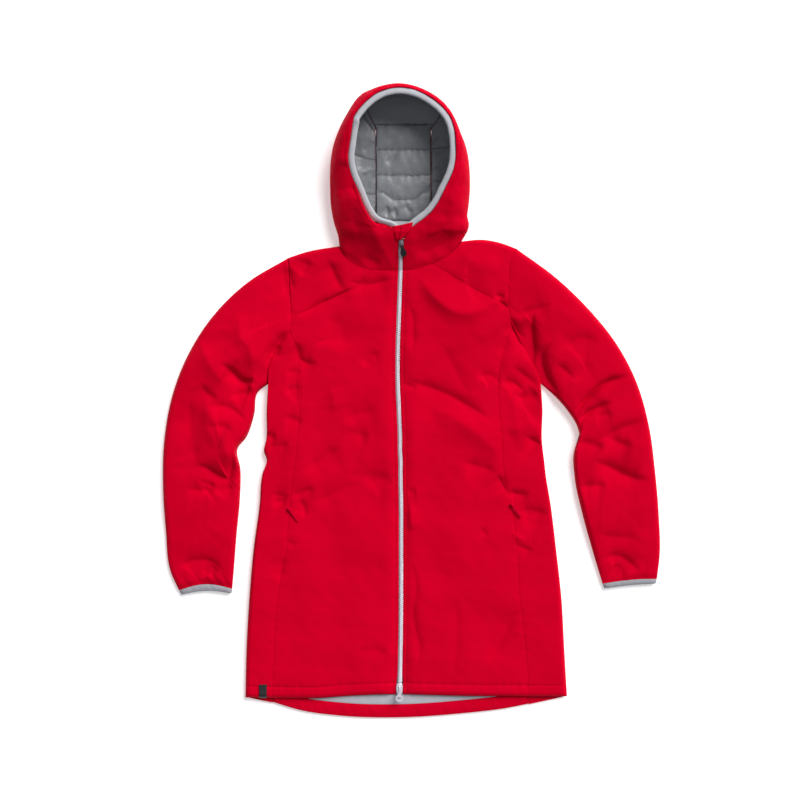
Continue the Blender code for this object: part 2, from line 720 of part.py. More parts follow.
def sleeve(side):
    """Sleeve and its cuff binding, as flattened tubes whose two layers lie on each other."""
    stations = SLEEVES[side]
    outer_edge = [(s.outer_x, s.outer_y) for s in stations]
    inner_edge = [(s.inner_x, s.inner_y) for s in stations]
    rows = even(0, 1, 27)
    left, right = through(outer_edge, rows), through(inner_edge, rows)
    hole = ARMHOLES[side]["yoke"] + ARMHOLES[side]["front"][1:] + ARMHOLES[side]["side"][1:]
    hole = np.array(hole, float)
    ends = []
    for edge, near in ((hole[0], hole[1]), (hole[-1], hole[-2])):
        step = (near - edge) / np.linalg.norm(near - edge)
        ends.append([edge + step * d for d in (0, 1.7, EDGE_ROLL / 2)])
    armhole = np.vstack([ends[0], hole[1:-1], ends[1][::-1]])
    width = np.linalg.norm(right[-1] - left[-1])
    near = np.array([0, 1.7, EDGE_ROLL / 2])
    middle = even(EDGE_ROLL, width - EDGE_ROLL, len(armhole) - 6)
    cuff = along([left[-1], right[-1]], np.concatenate([near, middle, width - near[::-1]]) / width)
    plan = patch(left, right, armhole, cuff, hold=3.0)
    plan = drawn_back(plan)
    full = np.interp(rows, even(0, 1, len(stations)), [s.top for s in stations])[:, None]
    sleeve_loops("sleeve_" + side, plan, full + fold_height(plan), red_shell())

    # The binding carries on from the sleeve's last row, a little narrower
    last = plan[-1]
    down = last - plan[-2]
    down = down / np.linalg.norm(down, axis=1, keepdims=True)
    bottoms = np.stack([last + down * d for d in (GAP, 2.5, CUFF_BINDING - 2, CUFF_BINDING)])
    centre = bottoms.mean(axis=1, keepdims=True)
    snug = np.array([0.985, 1.0, 0.995, 0.975])[:, None, None]
    bottoms = centre + (bottoms - centre) * snug
    tops = np.broadcast_to(np.array([10.6, 11.8, 11.4, 9.0])[:, None], bottoms.shape[:2])
    sleeve_loops("cuff_binding_" + side, bottoms, tops, grey_trim())


def sleeve_loops(name, plan, full, material):
    """Tube over a plan grid: the top rolls down at both edges to meet a flat underside."""
    run = np.linalg.norm(np.diff(plan, axis=1), axis=-1)
    gap = np.concatenate([np.zeros((len(plan), 1)), np.cumsum(run, axis=1)], axis=1)
    gap = np.minimum(gap, gap[:, -1:] - gap)
    middle = np.minimum(BACK_TOP, full.min(axis=1) * 0.5)[:, None]
    edge = middle * 1.15
    upper = rolled(gap, edge, full, EDGE_ROLL)
    lower = edge - rolled(gap, 0, edge, UNDER_ROLL)
    loops = np.concatenate(
        [np.dstack([plan, upper]), np.dstack([plan, lower])[:, ::-1][:, 1:-1]], axis=1
    )
    picks = list(range(3, plan.shape[1] - 3))
    inset = plan[:, picks]
    high = np.repeat(middle + GAP, len(picks), axis=1)
    low = np.repeat(middle, len(picks), axis=1)
    slit = np.concatenate([np.dstack([inset, high]), np.dstack([inset, low])[:, ::-1]], axis=1)
    keep = [0, 6, 13, 20, len(plan) - 1] if len(plan) > 20 else list(range(len(plan)))
    round_end = loops.shape[1]
    keys = picks + [round_end - pick for pick in picks[::-1]] + [round_end + picks[0]]
    tube(name, loops, slit[keep], material, keys)


# ------------------------------------------------------------------ hood

def quarter(start, end, low, high, turns):
    """Places on a quarter turn from the upright end (0) up to the level end (90 degrees)."""
    turns = np.radians(turns)[:, None]
    plan = start + (end - start) * (1 - np.cos(turns))
    return np.hstack([plan, low + (high - low) * np.sin(turns)])


def hood_column(column, neck=None):
    """Points of one hood column, from the rim over the widest point to the seam."""
    out = np.array([column.out_x, column.out_y], float)
    rim = np.array([column.rim_x, column.rim_y], float)
    seam, ground = hood_plan(column, "seam"), hood_plan(column, "ground")
    if neck is None:
        reach = np.linalg.norm(rim - out)
        roll = out + (rim - out) * min(0.98, 1.15 * (column.rim_z - column.out_z) / reach)
        rise = quarter(out, roll, column.out_z, column.rim_z, even(90, 0, 31))
        upper = along(np.vstack([[*rim, column.rim_z], rise]), even(0, 1, 9))
    else:
        level = np.array([(x, y, column.rim_z) for x, y in neck[::-1][:6]])
        rise = quarter(out, level[-1, :2], column.out_z, column.rim_z, [60, 30, 0])
        upper = np.vstack([level, rise])
    under = quarter(out, ground, column.out_z, 0.0, [30, 60, 90])
    floor = np.array([(*((ground + seam) / 2), 0.0), (*seam, 0.0)])
    return np.vstack([upper, under, floor])


def grid_normals(grid):
    """Unit normals of a grid, on the side that rows cross columns points to."""
    normal = np.cross(np.gradient(grid, axis=0), np.gradient(grid, axis=1))
    return normal / np.linalg.norm(normal, axis=-1, keepdims=True)


def hood_grids():
    """Outer points and outward normals of the three hood panels."""
    columns = [hood_column(HOOD_LEFT[0], NECKS["left"])]
    columns += [hood_column(c) for c in HOOD_LEFT[1:] + HOOD_CROWN + HOOD_RIGHT[:-1]]
    columns.append(hood_column(HOOD_RIGHT[-1], NECKS["right"]))
    band = np.array(columns)
    normals = grid_normals(band)
    if normals[len(band) // 2, -1, 2] > 0:
        normals = -normals
    left = len(HOOD_LEFT) - 1
    right = left + len(HOOD_CROWN) + 1
    crown = band[left : right + 1].transpose(1, 0, 2)[::-1]
    crown_normals = normals[left : right + 1].transpose(1, 0, 2)[::-1]
    lines = np.array([HOOD_NECK_Y, 850.0, *QUILT_LINES[:-1], HOOD_CROWN_Y])
    ys = np.concatenate([lines[:2], *[even(a, b, 5)[1:] for a, b in zip(lines[1:-1], lines[2:])]])
    floor = np.empty((len(ys) - 1, crown.shape[1], 3))
    floor[..., 0] = crown[0, :, 0]
    floor[..., 1] = ys[:-1, None]
    floor[..., 2] = 0
    down = np.broadcast_to([0.0, 0.0, -1.0], floor.shape)
    centre = np.concatenate([floor, crown]), np.concatenate([down, crown_normals])
    return {
        "left": (band[: left + 1], normals[: left + 1]),
        "centre": centre,
        "right": (band[right:], normals[right:]),
    }


def quilting(side, points):
    """Height of the quilting over each lining point: full between lines, nothing on them."""
    rows, columns = points.shape[:2]
    if side == "centre":
        y = points[..., 1]
        puff = np.zeros((rows, columns))
        for low, high in zip(QUILT_LINES[:-1], QUILT_LINES[1:]):
            inside = (y > low) & (y < high) & (points[..., 2] < CROWN_FOOT)
            puff += np.where(inside, np.sin(np.pi * (y - low) / (high - low)), 0)
    else:
        around = even(0, 1, rows)[:, None]
        puff = np.abs(np.sin(np.pi * around * SIDE_CHANNELS)) * (around > 1 / SIDE_CHANNELS)
    return QUILT_PUFF * puff * np.sqrt(np.sin(np.pi * even(0, 1, columns)))


def hood():
    """Three shell panels, each with its quilted lining inside it."""
    for side, (points, normals) in hood_grids().items():
        shell = drawn_back(points, 1.2 * GAP)
        wall("hood_" + side, shell, shell - SHELL_WALL * normals, red_shell())
        outside = drawn_back(points, 1.8 * GAP) - (SHELL_WALL + GAP) * normals
        lining = outside - LINING_WALL * normals
        raised = lining - quilting(side, lining)[..., None] * normals
        wall("hood_lining_" + side, outside, raised, grey_lining())


def rim_frame():
    """Rim points, the way outwards past the rim and the wall's normal, round the hood."""
    columns = HOOD_LEFT[2:] + HOOD_CROWN + HOOD_RIGHT[:-2]
    band = np.array([hood_column(c) for c in columns])
    normals = grid_normals(band)
    if normals[len(band) // 2, -1, 2] > 0:
        normals = -normals
    past = band[:, 0] - band[:, 1]
    past /= np.linalg.norm(past, axis=1, keepdims=True)
    return band[:, 0], past, normals[:, 0]


def hood_binding():
    """Grey binding round the face opening, carried past the rim as a rounded band."""
    rim, past, normal = rim_frame()
    centre = rim + past * (2 * GAP + BINDING_WIDTH / 2) - normal * (SHELL_WALL + GAP / 2 + LINING_WALL / 2)
    loops = []
    for angle in np.radians(even(22.5, 382.5, 9)[:-1]):
        across = math.copysign(abs(math.cos(angle)) ** 0.7, math.cos(angle)) * BINDING_WIDTH / 2
        up = math.copysign(abs(math.sin(angle)) ** 0.7, math.sin(angle)) * BINDING_THICK / 2
        loops.append(centre + past * across + normal * up)
    rod("hood_binding", np.stack(loops, axis=1), grey_trim())


def neck_band():
    """Pale band sewn over the neck seam inside the collar."""
    outline = [(-41, 846), (33, 846), (33, 864.5), (-41, 864.5)]
    low = SHELL_WALL + GAP + LINING_WALL + GAP
    plate("neck_band", outline, low, low + 1.2, grey_trim())


# ------------------------------------------------------------------ zips and trims


def zip_path(shares):
    """Centre line of the zip's chain: place, and the height of its top."""
    line = body_line("zip_line") + [(0, 800), (0, ZIP_TOP)]
    plan = through(line, shares)
    top = CHAIN_TOP + smooth_step(plan[:, 1], 730, COLLAR_START) * (COLLAR_FOOT - 3.0 - CHAIN_TOP)
    return plan, np.where(plan[:, 1] < COLLAR_START, top, collar_line(plan[:, 1]) - 3.0)


def zip_strip(name, inner, outer, drop, thick, material):
    """Strip along the zip between two distances from its centre line."""
    plan, top = zip_path(even(CHAIN_START / ZIP_TOP, CHAIN_END / ZIP_TOP, 44))
    loops = []
    for across, down in ((inner, drop), (outer, drop), (outer, drop + thick), (inner, drop + thick)):
        loops.append(np.column_stack([plan[:, 0] + across, plan[:, 1], top - down]))
    rod(name, np.stack(loops, axis=1), material)


def front_zip():
    """Chain and the two tapes under it."""
    zip_strip("zip_chain", -CHAIN_HALF, CHAIN_HALF, 0, CHAIN_THICK, silver_metal())
    drop = CHAIN_THICK + GAP
    zip_strip("zip_tape_left", -SLOT_HALF + GAP, -GAP / 2, drop, TAPE_THICK, grey_trim())
    zip_strip("zip_tape_right", GAP / 2, SLOT_HALF - GAP, drop, TAPE_THICK, grey_trim())


def loft(name, levels, material, origin, turn=None):
    """Closed hard piece: each level is a closed outline at its own height."""
    form = Form()
    grid = form.lay([[(x, y, z) for x, y in outline] for outline, z in levels])
    form.skin(np.concatenate([grid, grid[:, :1]], axis=1))
    form.cap(grid[0])
    form.cap(grid[-1])
    return form.object(name, material, origin=origin, turn=turn)


def slider_outline(width, length, waist):
    """Slider seen from above: wide shoulders, narrower foot, eight corners."""
    w, n, h = width / 2, width / 2 * waist, length / 2
    return [(-n, -h), (n, -h), (w, -h * 0.3), (w, h * 0.55), (n * 0.9, h), (-n * 0.9, h),
            (-w, h * 0.55), (-w, -h * 0.3)]


def scaled(outline, factor):
    return [(x * factor, y * factor) for x, y in outline]


def slider(name, origin, turn, width, length, depth, waist, material):
    """Slider body with the raised bridge that its pull hangs on."""
    body = slider_outline(width, length, waist)
    bridge = slider_outline(width * 0.34, length * 0.62, 0.8)
    levels = [(scaled(body, 0.9), -depth), (body, -depth + 0.8), (body, 0.2), (scaled(body, 0.92), 0.8),
              (bridge, 1.0), (bridge, 2.2), (scaled(bridge, 0.8), 2.8)]
    return loft(name, levels, material, origin, turn)


def teardrop(length, neck, belly):
    """Pull outline from its hinge at zero down to its round end."""
    shares = np.array([0.0, 0.12, 0.3, 0.5, 0.68, 0.84, 0.95])
    halves = np.array([neck, neck * 1.05, neck + 0.3 * (belly - neck), neck + 0.8 * (belly - neck),
                       belly, belly * 0.82, belly * 0.42]) / 2
    right = [(h, -s * length) for h, s in zip(halves, shares)]
    return right + [(0.0, -length)] + [(-x, y) for x, y in right[::-1]]


def pull(name, outline, thick, origin, turn, material):
    """Flat pull tab with its origin on its hinge axis."""
    low, high = -thick / 2, thick / 2
    rim = scaled(outline, 0.94)
    levels = [(rim, low), (outline, low * 0.4), (outline, high * 0.4), (rim, high)]
    return loft(name, levels, material, origin, turn)


def ring_pull(name, origin, turn, material):
    """Short ring-ended pull of the bottom slider: a stem and a ring with an open eye."""
    form = Form()
    count = 16
    angles = [math.pi / 2 + 2 * math.pi * i / count for i in range(count)]
    centre, outside, inside = -11.5, (7.2, 6.8), (4.4, 2.6)
    rings = []
    for half, bevel in ((-0.9, 0.94), (0.9, 0.94)):
        outer = [(outside[0] * math.cos(a) * bevel, centre + outside[1] * math.sin(a) * bevel, half)
                 for a in angles]
        for i, (width, y) in {count - 1: (2.2, -0.6), 0: (0.0, 0.0), 1: (-2.2, -0.6)}.items():
            outer[i] = (width, y, half)
        hole = [(inside[0] * math.cos(a), centre + inside[1] * math.sin(a), half) for a in angles]
        rings.append((form.lay(outer), form.lay(hole)))
    closed = [[np.append(loop, loop[0]) for loop in pair] for pair in rings]
    for (outer, hole) in closed:
        form.skin(np.stack([outer, hole]))
    for part in (0, 1):
        form.skin(np.stack([closed[0][part], closed[1][part]]))
    return form.object(name, material, origin=origin, turn=turn)


def surface_turn(pitch, heading):
    """Rotation of a tab that lies along a slope: pitch about x, then heading about z."""
    return Matrix.Rotation(math.radians(heading), 3, "Z") @ Matrix.Rotation(math.radians(pitch), 3, "X")


COLLAR_PITCH = math.degrees(math.atan(COLLAR_RISE))
TOP_SLIDER = (1.2, 822.0)
TOP_HINGE = (0.6, -6.2, 3.6)
TOP_PULL_HEADING = 9.0
BOTTOM_SLIDER = (-1.9, 11.0, 15.5)
BOTTOM_HINGE = (0.0, -5.0, 4.0)


def beside(centre, turn, offset):
    """A place given by its offset in a slider's own directions."""
    return tuple(Vector(centre) + turn @ Vector(offset))


def front_sliders():
    """Top and bottom sliders of the front zip and their pulls, hinged on the bridges."""
    slope = surface_turn(COLLAR_PITCH, 0)
    centre = (*TOP_SLIDER, float(collar_line(TOP_SLIDER[1])) - 1.0)
    slider("top_slider", centre, slope, 10.4, 15, 3.6, 0.62, silver_metal())
    rubber = finish("black_rubber_pull", BLACK, 0.5)
    heading = surface_turn(COLLAR_PITCH, TOP_PULL_HEADING)
    pull("top_pull", teardrop(24, 4.5, 10.5), 1.8, beside(centre, slope, TOP_HINGE), heading, rubber)
    level = surface_turn(0, 0)
    slider("bottom_slider", BOTTOM_SLIDER, level, 13.0, 19, 5.5, 0.7, silver_metal())
    ring_pull("bottom_pull", beside(BOTTOM_SLIDER, level, BOTTOM_HINGE), level, silver_metal())


def chin_guard():
    """Red flap folded over the top of the zip."""
    outline = [(-12.6, 853.6), (-7.2, 829.5), (-3.4, 828.0), (5.8, 837), (15.9, 850), (17.7, 860.4),
               (0.2, 854.6)]
    crest = float(collar_line(842.0))

    def low(_x, y):
        return np.minimum(collar_line(y), crest) + 2.0

    def high(_x, y):
        return np.minimum(collar_line(y), crest) + 4.6

    plate("chin_guard", outline, low, high, red_shell())


Pocket = namedtuple("Pocket", "x y heading")
POCKETS = {"left": Pocket(-203.0, 338.0, 37.0), "right": Pocket(203.5, 346.0, 38.0)}
POCKET_HINGE = (0.0, -4.9, 1.3)
POCKET_TAB = [(2.2, 0), (2.4, -4), (2.4, -19), (1.6, -22.5), (-1.6, -22.5), (-2.4, -19), (-2.4, -4),
              (-2.2, 0)]


def pockets():
    """Slider and pull tab of each hand pocket, on the princess seam."""
    red_metal = finish("red_zip_metal", RED, 0.4)
    for side, pocket in POCKETS.items():
        level = surface_turn(0, pocket.heading)
        centre = (pocket.x, pocket.y, BODY_TOP + 1.6)
        slider("pocket_slider_" + side, centre, level, 5.6, 9, 1.2, 0.7, red_metal)
        hinge = beside(centre, level, POCKET_HINGE)
        pull("pocket_pull_" + side, POCKET_TAB, 1.6, hinge, level, red_metal)


def hem_label():
    """Small black tab sewn over the hem at the left side."""
    outline = [(-258, -6), (-244, -6), (-244, 19), (-258, 19)]

    def low(_x, y):
        return rolled(y + 6.8, HEM_TOP, BODY_TOP, EDGE_ROLL) + GAP

    def high(x, y):
        return low(x, y) + 1.2

    outline = np.vstack([along([outline[a], outline[(a + 1) % 4]], even(0, 1, 6)[:-1]) for a in range(4)])
    plate("hem_label", outline, low, high, finish("black_woven_tab", BLACK, 0.7))


def main():
    for item in list(bpy.data.objects):
        bpy.data.objects.remove(item, do_unlink=True)
    back_panel()
    hem_inside()
    for side in ("left", "right"):
        front_panel(side)
        yoke_panel(side)
        side_panel(side)
        sleeve(side)
    hood()
    hood_binding()
    neck_band()
    front_zip()
    front_sliders()
    chin_guard()
    pockets()
    hem_label()


main()
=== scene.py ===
"""Looks of a long insulated hooded coat, laid flat on its back with the zip closed.

Pattern frame, in millimetres: x = 0 on the zip, y = 0 at the front hem with the hood
towards +y, z = 0 on the surface that the coat lies on. Left and right are as seen from
above. Meshes are written in metres, moved by ORIGIN to the frame of the solids.
"""

import logging
import math
from collections.abc import Iterable, Sequence
from dataclasses import dataclass, field
from enum import Enum
from typing import NamedTuple

import bmesh
import bpy
import numpy as np
from mathutils import Matrix, Vector


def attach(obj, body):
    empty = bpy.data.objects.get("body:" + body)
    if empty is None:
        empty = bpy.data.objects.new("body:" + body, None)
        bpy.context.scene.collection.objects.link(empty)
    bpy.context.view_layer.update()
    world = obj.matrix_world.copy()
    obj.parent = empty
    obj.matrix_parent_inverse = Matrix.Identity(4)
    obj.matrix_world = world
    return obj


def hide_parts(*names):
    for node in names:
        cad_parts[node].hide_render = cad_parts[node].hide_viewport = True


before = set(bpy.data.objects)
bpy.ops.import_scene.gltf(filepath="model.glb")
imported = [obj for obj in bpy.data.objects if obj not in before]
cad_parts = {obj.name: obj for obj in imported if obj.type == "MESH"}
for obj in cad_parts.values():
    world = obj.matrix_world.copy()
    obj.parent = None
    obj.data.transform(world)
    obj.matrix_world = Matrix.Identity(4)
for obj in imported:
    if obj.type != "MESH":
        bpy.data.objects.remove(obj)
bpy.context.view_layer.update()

Array = np.ndarray
log = logging.getLogger("coat")

MM = 0.001
ORIGIN = np.array([20.0, 533.0, 0.0])
GAP = 0.3
LIGHT_AZIMUTH = 50.0
LIGHT = np.array([math.cos(math.radians(LIGHT_AZIMUTH)), math.sin(math.radians(LIGHT_AZIMUTH))])


class Slot(Enum):
    """Material slots of the record."""

    SHELL = "shell"
    LINING = "lining"
    BINDING = "binding"
    ZIP_METAL = "zip_metal"
    RED_METAL = "red_metal"
    PULL_RUBBER = "pull_rubber"
    LABEL = "label"


class Side(Enum):
    """Half of the coat, as seen from above."""

    LEFT = "left"
    RIGHT = "right"

    @property
    def sign(self) -> int:
        """Direction of the half along x."""
        return -1 if self is Side.LEFT else 1


class Edge(Enum):
    """Edge of a grid: its first or last row, or its first or last column."""

    BOTTOM = "bottom"
    TOP = "top"
    FIRST = "first"
    LAST = "last"


# ------------------------------------------------------------------ materials


def linear(code: str) -> tuple[float, float, float, float]:
    """Turns an sRGB hex value into a linear colour.

    Args:
        code: Colour as "#RRGGBB".

    Returns:
        Red, green, blue and alpha in linear light.
    """
    parts = np.array([int(code[i : i + 2], 16) for i in (1, 3, 5)]) / 255
    light = np.where(parts <= 0.04045, parts / 12.92, ((parts + 0.055) / 1.055) ** 2.4)
    return (*(float(x) for x in light), 1.0)


def add_node(
    tree: bpy.types.NodeTree, kind: str, inputs: dict | None = None, **settings: object
) -> bpy.types.Node:
    """Adds one shader node.

    Args:
        tree: Node tree that gets the node.
        kind: Type of the node, after "ShaderNode".
        inputs: A value, or a socket to link, for each input named or numbered.
        settings: Attributes of the node.

    Returns:
        The node.
    """
    item = tree.nodes.new("ShaderNode" + kind)
    for name, value in settings.items():
        setattr(item, name, value)
    for name, value in (inputs or {}).items():
        if isinstance(value, bpy.types.NodeSocket):
            tree.links.new(value, item.inputs[name])
        else:
            item.inputs[name].default_value = value
    return item


@dataclass(frozen=True)
class Finish:
    """A finish: its name, main colours and gloss. Subclasses add the pattern."""

    name: str
    colour: str
    shade: str
    roughness: float
    metallic: float = 0.0
    sheen: float = 0.0
    sheen_tint: str = "#FFFFFF"
    specular: float = 0.5
    specular_tint: str = "#FFFFFF"

    def material(self) -> bpy.types.Material:
        """The material, made once."""
        made = bpy.data.materials.get(self.name)
        if made is not None:
            return made
        made = bpy.data.materials.new(self.name)
        made.use_nodes = True
        shader = made.node_tree.nodes["Principled BSDF"]
        shader.inputs["Metallic"].default_value = self.metallic
        shader.inputs["Sheen Weight"].default_value = self.sheen
        shader.inputs["Sheen Roughness"].default_value = 0.45
        shader.inputs["Sheen Tint"].default_value = linear(self.sheen_tint)
        shader.inputs["Specular IOR Level"].default_value = self.specular
        shader.inputs["Specular Tint"].default_value = linear(self.specular_tint)
        self.dress(made.node_tree, shader)
        return made

    def dress(self, tree: bpy.types.NodeTree, shader: bpy.types.Node) -> None:
        """Links the finish's pattern to the shader."""
        raise NotImplementedError

    def mottled(self, tree: bpy.types.NodeTree, place: bpy.types.NodeSocket, size: float) -> bpy.types.NodeSocket:
        """Colour that drifts between the finish's two colours over patches of a size in mm."""
        noise = add_node(tree, "TexNoise", {"Vector": place, "Scale": 1 / (size * MM), "Detail": 3.0})
        mix = add_node(
            tree,
            "Mix",
            {0: noise.outputs[0], 6: linear(self.shade), 7: linear(self.colour)},
            data_type="RGBA",
        )
        return mix.outputs[2]

    def gloss(self, tree: bpy.types.NodeTree, place: bpy.types.NodeSocket, size: float, spread: float) -> bpy.types.NodeSocket:
        """Roughness that varies by a spread over patches of a size in mm."""
        noise = add_node(tree, "TexNoise", {"Vector": place, "Scale": 1 / (size * MM), "Detail": 2.0})
        spot = add_node(
            tree,
            "MapRange",
            {0: noise.outputs[0], 3: self.roughness - spread, 4: self.roughness + spread},
        )
        return spot.outputs[0]


def bump(tree: bpy.types.NodeTree, height: bpy.types.NodeSocket, depth_mm: float, base: bpy.types.NodeSocket | None = None) -> bpy.types.NodeSocket:
    """Relief of a pattern, its full height given in millimetres, on top of another relief."""
    inputs = {"Height": height, "Distance": depth_mm * MM, "Strength": 1.0}
    if base is not None:
        inputs["Normal"] = base
    return add_node(tree, "Bump", inputs).outputs[0]


def bands(tree: bpy.types.NodeTree, place: bpy.types.NodeSocket, direction: str, pitch_mm: float) -> bpy.types.NodeSocket:
    """Rounded ridges across one axis, one for each pitch. A wave's phase turns 20 radians a unit."""
    wave = add_node(
        tree,
        "TexWave",
        {"Vector": place, "Scale": 2 * math.pi / (20 * pitch_mm * MM), "Distortion": 0.0},
        wave_type="BANDS",
        bands_direction=direction,
        wave_profile="SIN",
    )
    return wave.outputs[1]


@dataclass(frozen=True)
class WovenCloth(Finish):
    """Plain-woven cloth: warp and weft, fine crinkle, and shade painted along seam lines."""

    thread: float = 1.5
    weave_depth: float = 0.05
    crinkle: float = 7.0
    crinkle_depth: float = 0.15
    patch: float = 90.0
    painted_seam_shade: float = 0.35

    def dress(self, tree: bpy.types.NodeTree, shader: bpy.types.Node) -> None:
        """Weave from two wave patterns on the cloth's own map, crinkle from noise, and painted shade along seams."""
        place = add_node(tree, "UVMap", uv_map="cloth").outputs[0]
        warp = bands(tree, place, "X", self.thread)
        weft = bands(tree, place, "Y", self.thread)
        weave = add_node(tree, "Math", {0: warp, 1: weft}, operation="MULTIPLY").outputs[0]
        solid = add_node(tree, "TexCoord").outputs["Object"]
        crinkle = add_node(
            tree,
            "TexNoise",
            {"Vector": solid, "Scale": 1 / (self.crinkle * MM), "Detail": 3.0, "Roughness": 0.55, "Distortion": 0.4},
        ).outputs[0]
        relief = bump(tree, crinkle, self.crinkle_depth)
        tree.links.new(bump(tree, weave, self.weave_depth, relief), shader.inputs["Normal"])
        # Painted shade: the seam attribute darkens the colour towards the shade colour along seams, quilting lines and
        # folds.
        seam = add_node(tree, "Attribute", attribute_name="seam", attribute_type="GEOMETRY").outputs["Fac"]
        painted_shade = add_node(tree, "Math", {0: seam, 1: self.painted_seam_shade}, operation="MULTIPLY").outputs[0]
        base = self.mottled(tree, solid, self.patch)
        deep = add_node(
            tree, "Mix", {0: painted_shade, 6: base, 7: linear(self.shade)}, data_type="RGBA", blend_type="MULTIPLY"
        )
        tree.links.new(deep.outputs[2], shader.inputs["Base Color"])
        tree.links.new(self.gloss(tree, place, 12.0, 0.06), shader.inputs["Roughness"])


@dataclass(frozen=True)
class KnittedBinding(Finish):
    """Knitted elastic: rows of ribs along the band with courses across them."""

    rib: float = 1.6
    course: float = 2.6
    rib_depth: float = 0.25

    def dress(self, tree: bpy.types.NodeTree, shader: bpy.types.Node) -> None:
        """Ribs and courses from two wave patterns, a soft drift of the grey, and shade painted into the grooves between
        the ribs.
        """
        place = add_node(tree, "UVMap", uv_map="cloth").outputs[0]
        ribs = bands(tree, place, "X", self.rib)
        courses = bands(tree, place, "Y", self.course)
        knit = add_node(tree, "Math", {0: ribs, 1: courses}, operation="ADD").outputs[0]
        tree.links.new(bump(tree, knit, self.rib_depth / 2), shader.inputs["Normal"])
        base = self.mottled(tree, place, 14.0)
        mix = add_node(
            tree, "Mix", {0: 0.25, 6: base, 7: base}, data_type="RGBA", blend_type="MIX"
        )
        # Painted shade: the colour darkens to 80% in the grooves between the ribs
        gap = add_node(tree, "MapRange", {0: ribs, 3: 0.8, 4: 1.0}).outputs[0]
        groove_shaded_colour = add_node(
            tree, "Mix", {0: 1.0, 6: mix.outputs[2], 7: gap}, data_type="RGBA", blend_type="MULTIPLY"
        )
        tree.links.new(groove_shaded_colour.outputs[2], shader.inputs["Base Color"])
        tree.links.new(self.gloss(tree, place, 9.0, 0.05), shader.inputs["Roughness"])


@dataclass(frozen=True)
class CastMetal(Finish):
    """Die-cast zip metal: tumbled to a satin, with faint dings and a drift of tone."""

    grain: float = 0.6
    grain_depth: float = 0.02

    def dress(self, tree: bpy.types.NodeTree, shader: bpy.types.Node) -> None:
        """Fine noise for the tumbled grain, wider noise for tone and gloss."""
        solid = add_node(tree, "TexCoord").outputs["Object"]
        grain = add_node(
            tree, "TexNoise", {"Vector": solid, "Scale": 1 / (self.grain * MM), "Detail": 2.0}
        ).outputs[0]
        tree.links.new(bump(tree, grain, self.grain_depth), shader.inputs["Normal"])
        tree.links.new(self.mottled(tree, solid, 3.0), shader.inputs["Base Color"])
        tree.links.new(self.gloss(tree, solid, 2.0, 0.08), shader.inputs["Roughness"])


@dataclass(frozen=True)
class MouldedRubber(Finish):
    """Moulded rubber: a fine spark-eroded grain and worn, lighter patches."""

    grain: float = 0.5

    def dress(self, tree: bpy.types.NodeTree, shader: bpy.types.Node) -> None:
        """Fine noise for the mould's grain, wider noise for the handled patches."""
        solid = add_node(tree, "TexCoord").outputs["Object"]
        grain = add_node(
            tree, "TexNoise", {"Vector": solid, "Scale": 1 / (self.grain * MM), "Detail": 1.0}
        ).outputs[0]
        tree.links.new(bump(tree, grain, 0.03), shader.inputs["Normal"])
        tree.links.new(self.mottled(tree, solid, 6.0), shader.inputs["Base Color"])
        tree.links.new(self.gloss(tree, solid, 4.0, 0.07), shader.inputs["Roughness"])


@dataclass(frozen=True)
class LightTable(Finish):
    """White acrylic table, matt and faintly lit from below, so that shadows on it stay pale."""

    glow: float = 0.35

    def dress(self, tree: bpy.types.NodeTree, shader: bpy.types.Node) -> None:
        """A drift of white from wide noise, and the glow."""
        solid = add_node(tree, "TexCoord").outputs["Object"]
        tree.links.new(self.mottled(tree, solid, 300.0), shader.inputs["Base Color"])
        shader.inputs["Roughness"].default_value = self.roughness
        shader.inputs["Emission Color"].default_value = linear(self.colour)
        shader.inputs["Emission Strength"].default_value = self.glow


# Polyester shell, plain-woven in about 0.2 mm threads with a matt calender: the weave is
# drawn at 1.5 mm, the finest that shows in a picture of the whole coat
RED_SHELL = WovenCloth(
    "woven_polyester_red", "#C60024", "#BA0020", 0.7, painted_seam_shade=0.12, sheen=0.04, sheen_tint="#FF0058",
    specular=0.08, specular_tint="#FF0060",
)
# Nylon taffeta, thinner and smoother than the shell, so it takes a low shine and creases more; its grey is painted
# darker for the shade inside the hood
SHADED_LINING = WovenCloth(
    "quilted_taffeta_grey_shaded", "#808287", "#6E7075", 0.42, thread=1.2, weave_depth=0.02, crinkle=6.0,
    crinkle_depth=0.6, patch=40.0, painted_seam_shade=0.75, sheen=0.05, specular=0.5,
)
# The same taffeta unquilted, pressed flat along the hem, as a lit copy: its grey is painted lighter for the full light
# that falls on it there
LIT_LINING = WovenCloth(
    "pressed_taffeta_grey_lit", "#B2B2BB", "#A4A4AE", 0.5, thread=1.2, weave_depth=0.02, crinkle=9.0,
    crinkle_depth=0.3, patch=40.0, painted_seam_shade=0.5, sheen=0.05,
)
# Knitted elastic tape, about 0.8 mm ribs drawn at 1.6 mm, dull and pale
GREY_BINDING = KnittedBinding("knitted_elastic_grey", "#BDBFC6", "#AEB0B8", 0.75, sheen=0.2)
# The cuffs' elastic, the same knit with its grey painted darker for the shade on the cuffs, which face away from the
# light
SHADED_CUFF_BINDING = KnittedBinding("knitted_elastic_grey_shaded", "#9D9EA5", "#8D8E95", 0.75, sheen=0.2)
# Polyester zip tape, a herringbone too fine to show, drawn as the knit is; its grey is painted lighter than its own, to
# lift the shade in the zip's slot
ZIP_TAPE = KnittedBinding("woven_zip_tape_grey", "#CDCDD6", "#BFBFC9", 0.7, rib=1.2, course=1.2, rib_depth=0.1)
# Zinc alloy, tumbled and nickel-plated: bright, with soft reflections
SATIN_ZINC = CastMetal("tumbled_zinc_alloy", "#E2DEE8", "#CFCCD8", 0.36, metallic=0.45)
# The same alloy, handled and dulled at the top slider
DULL_ZINC = CastMetal("dulled_zinc_alloy", "#8F8D96", "#77757E", 0.4, metallic=0.5)
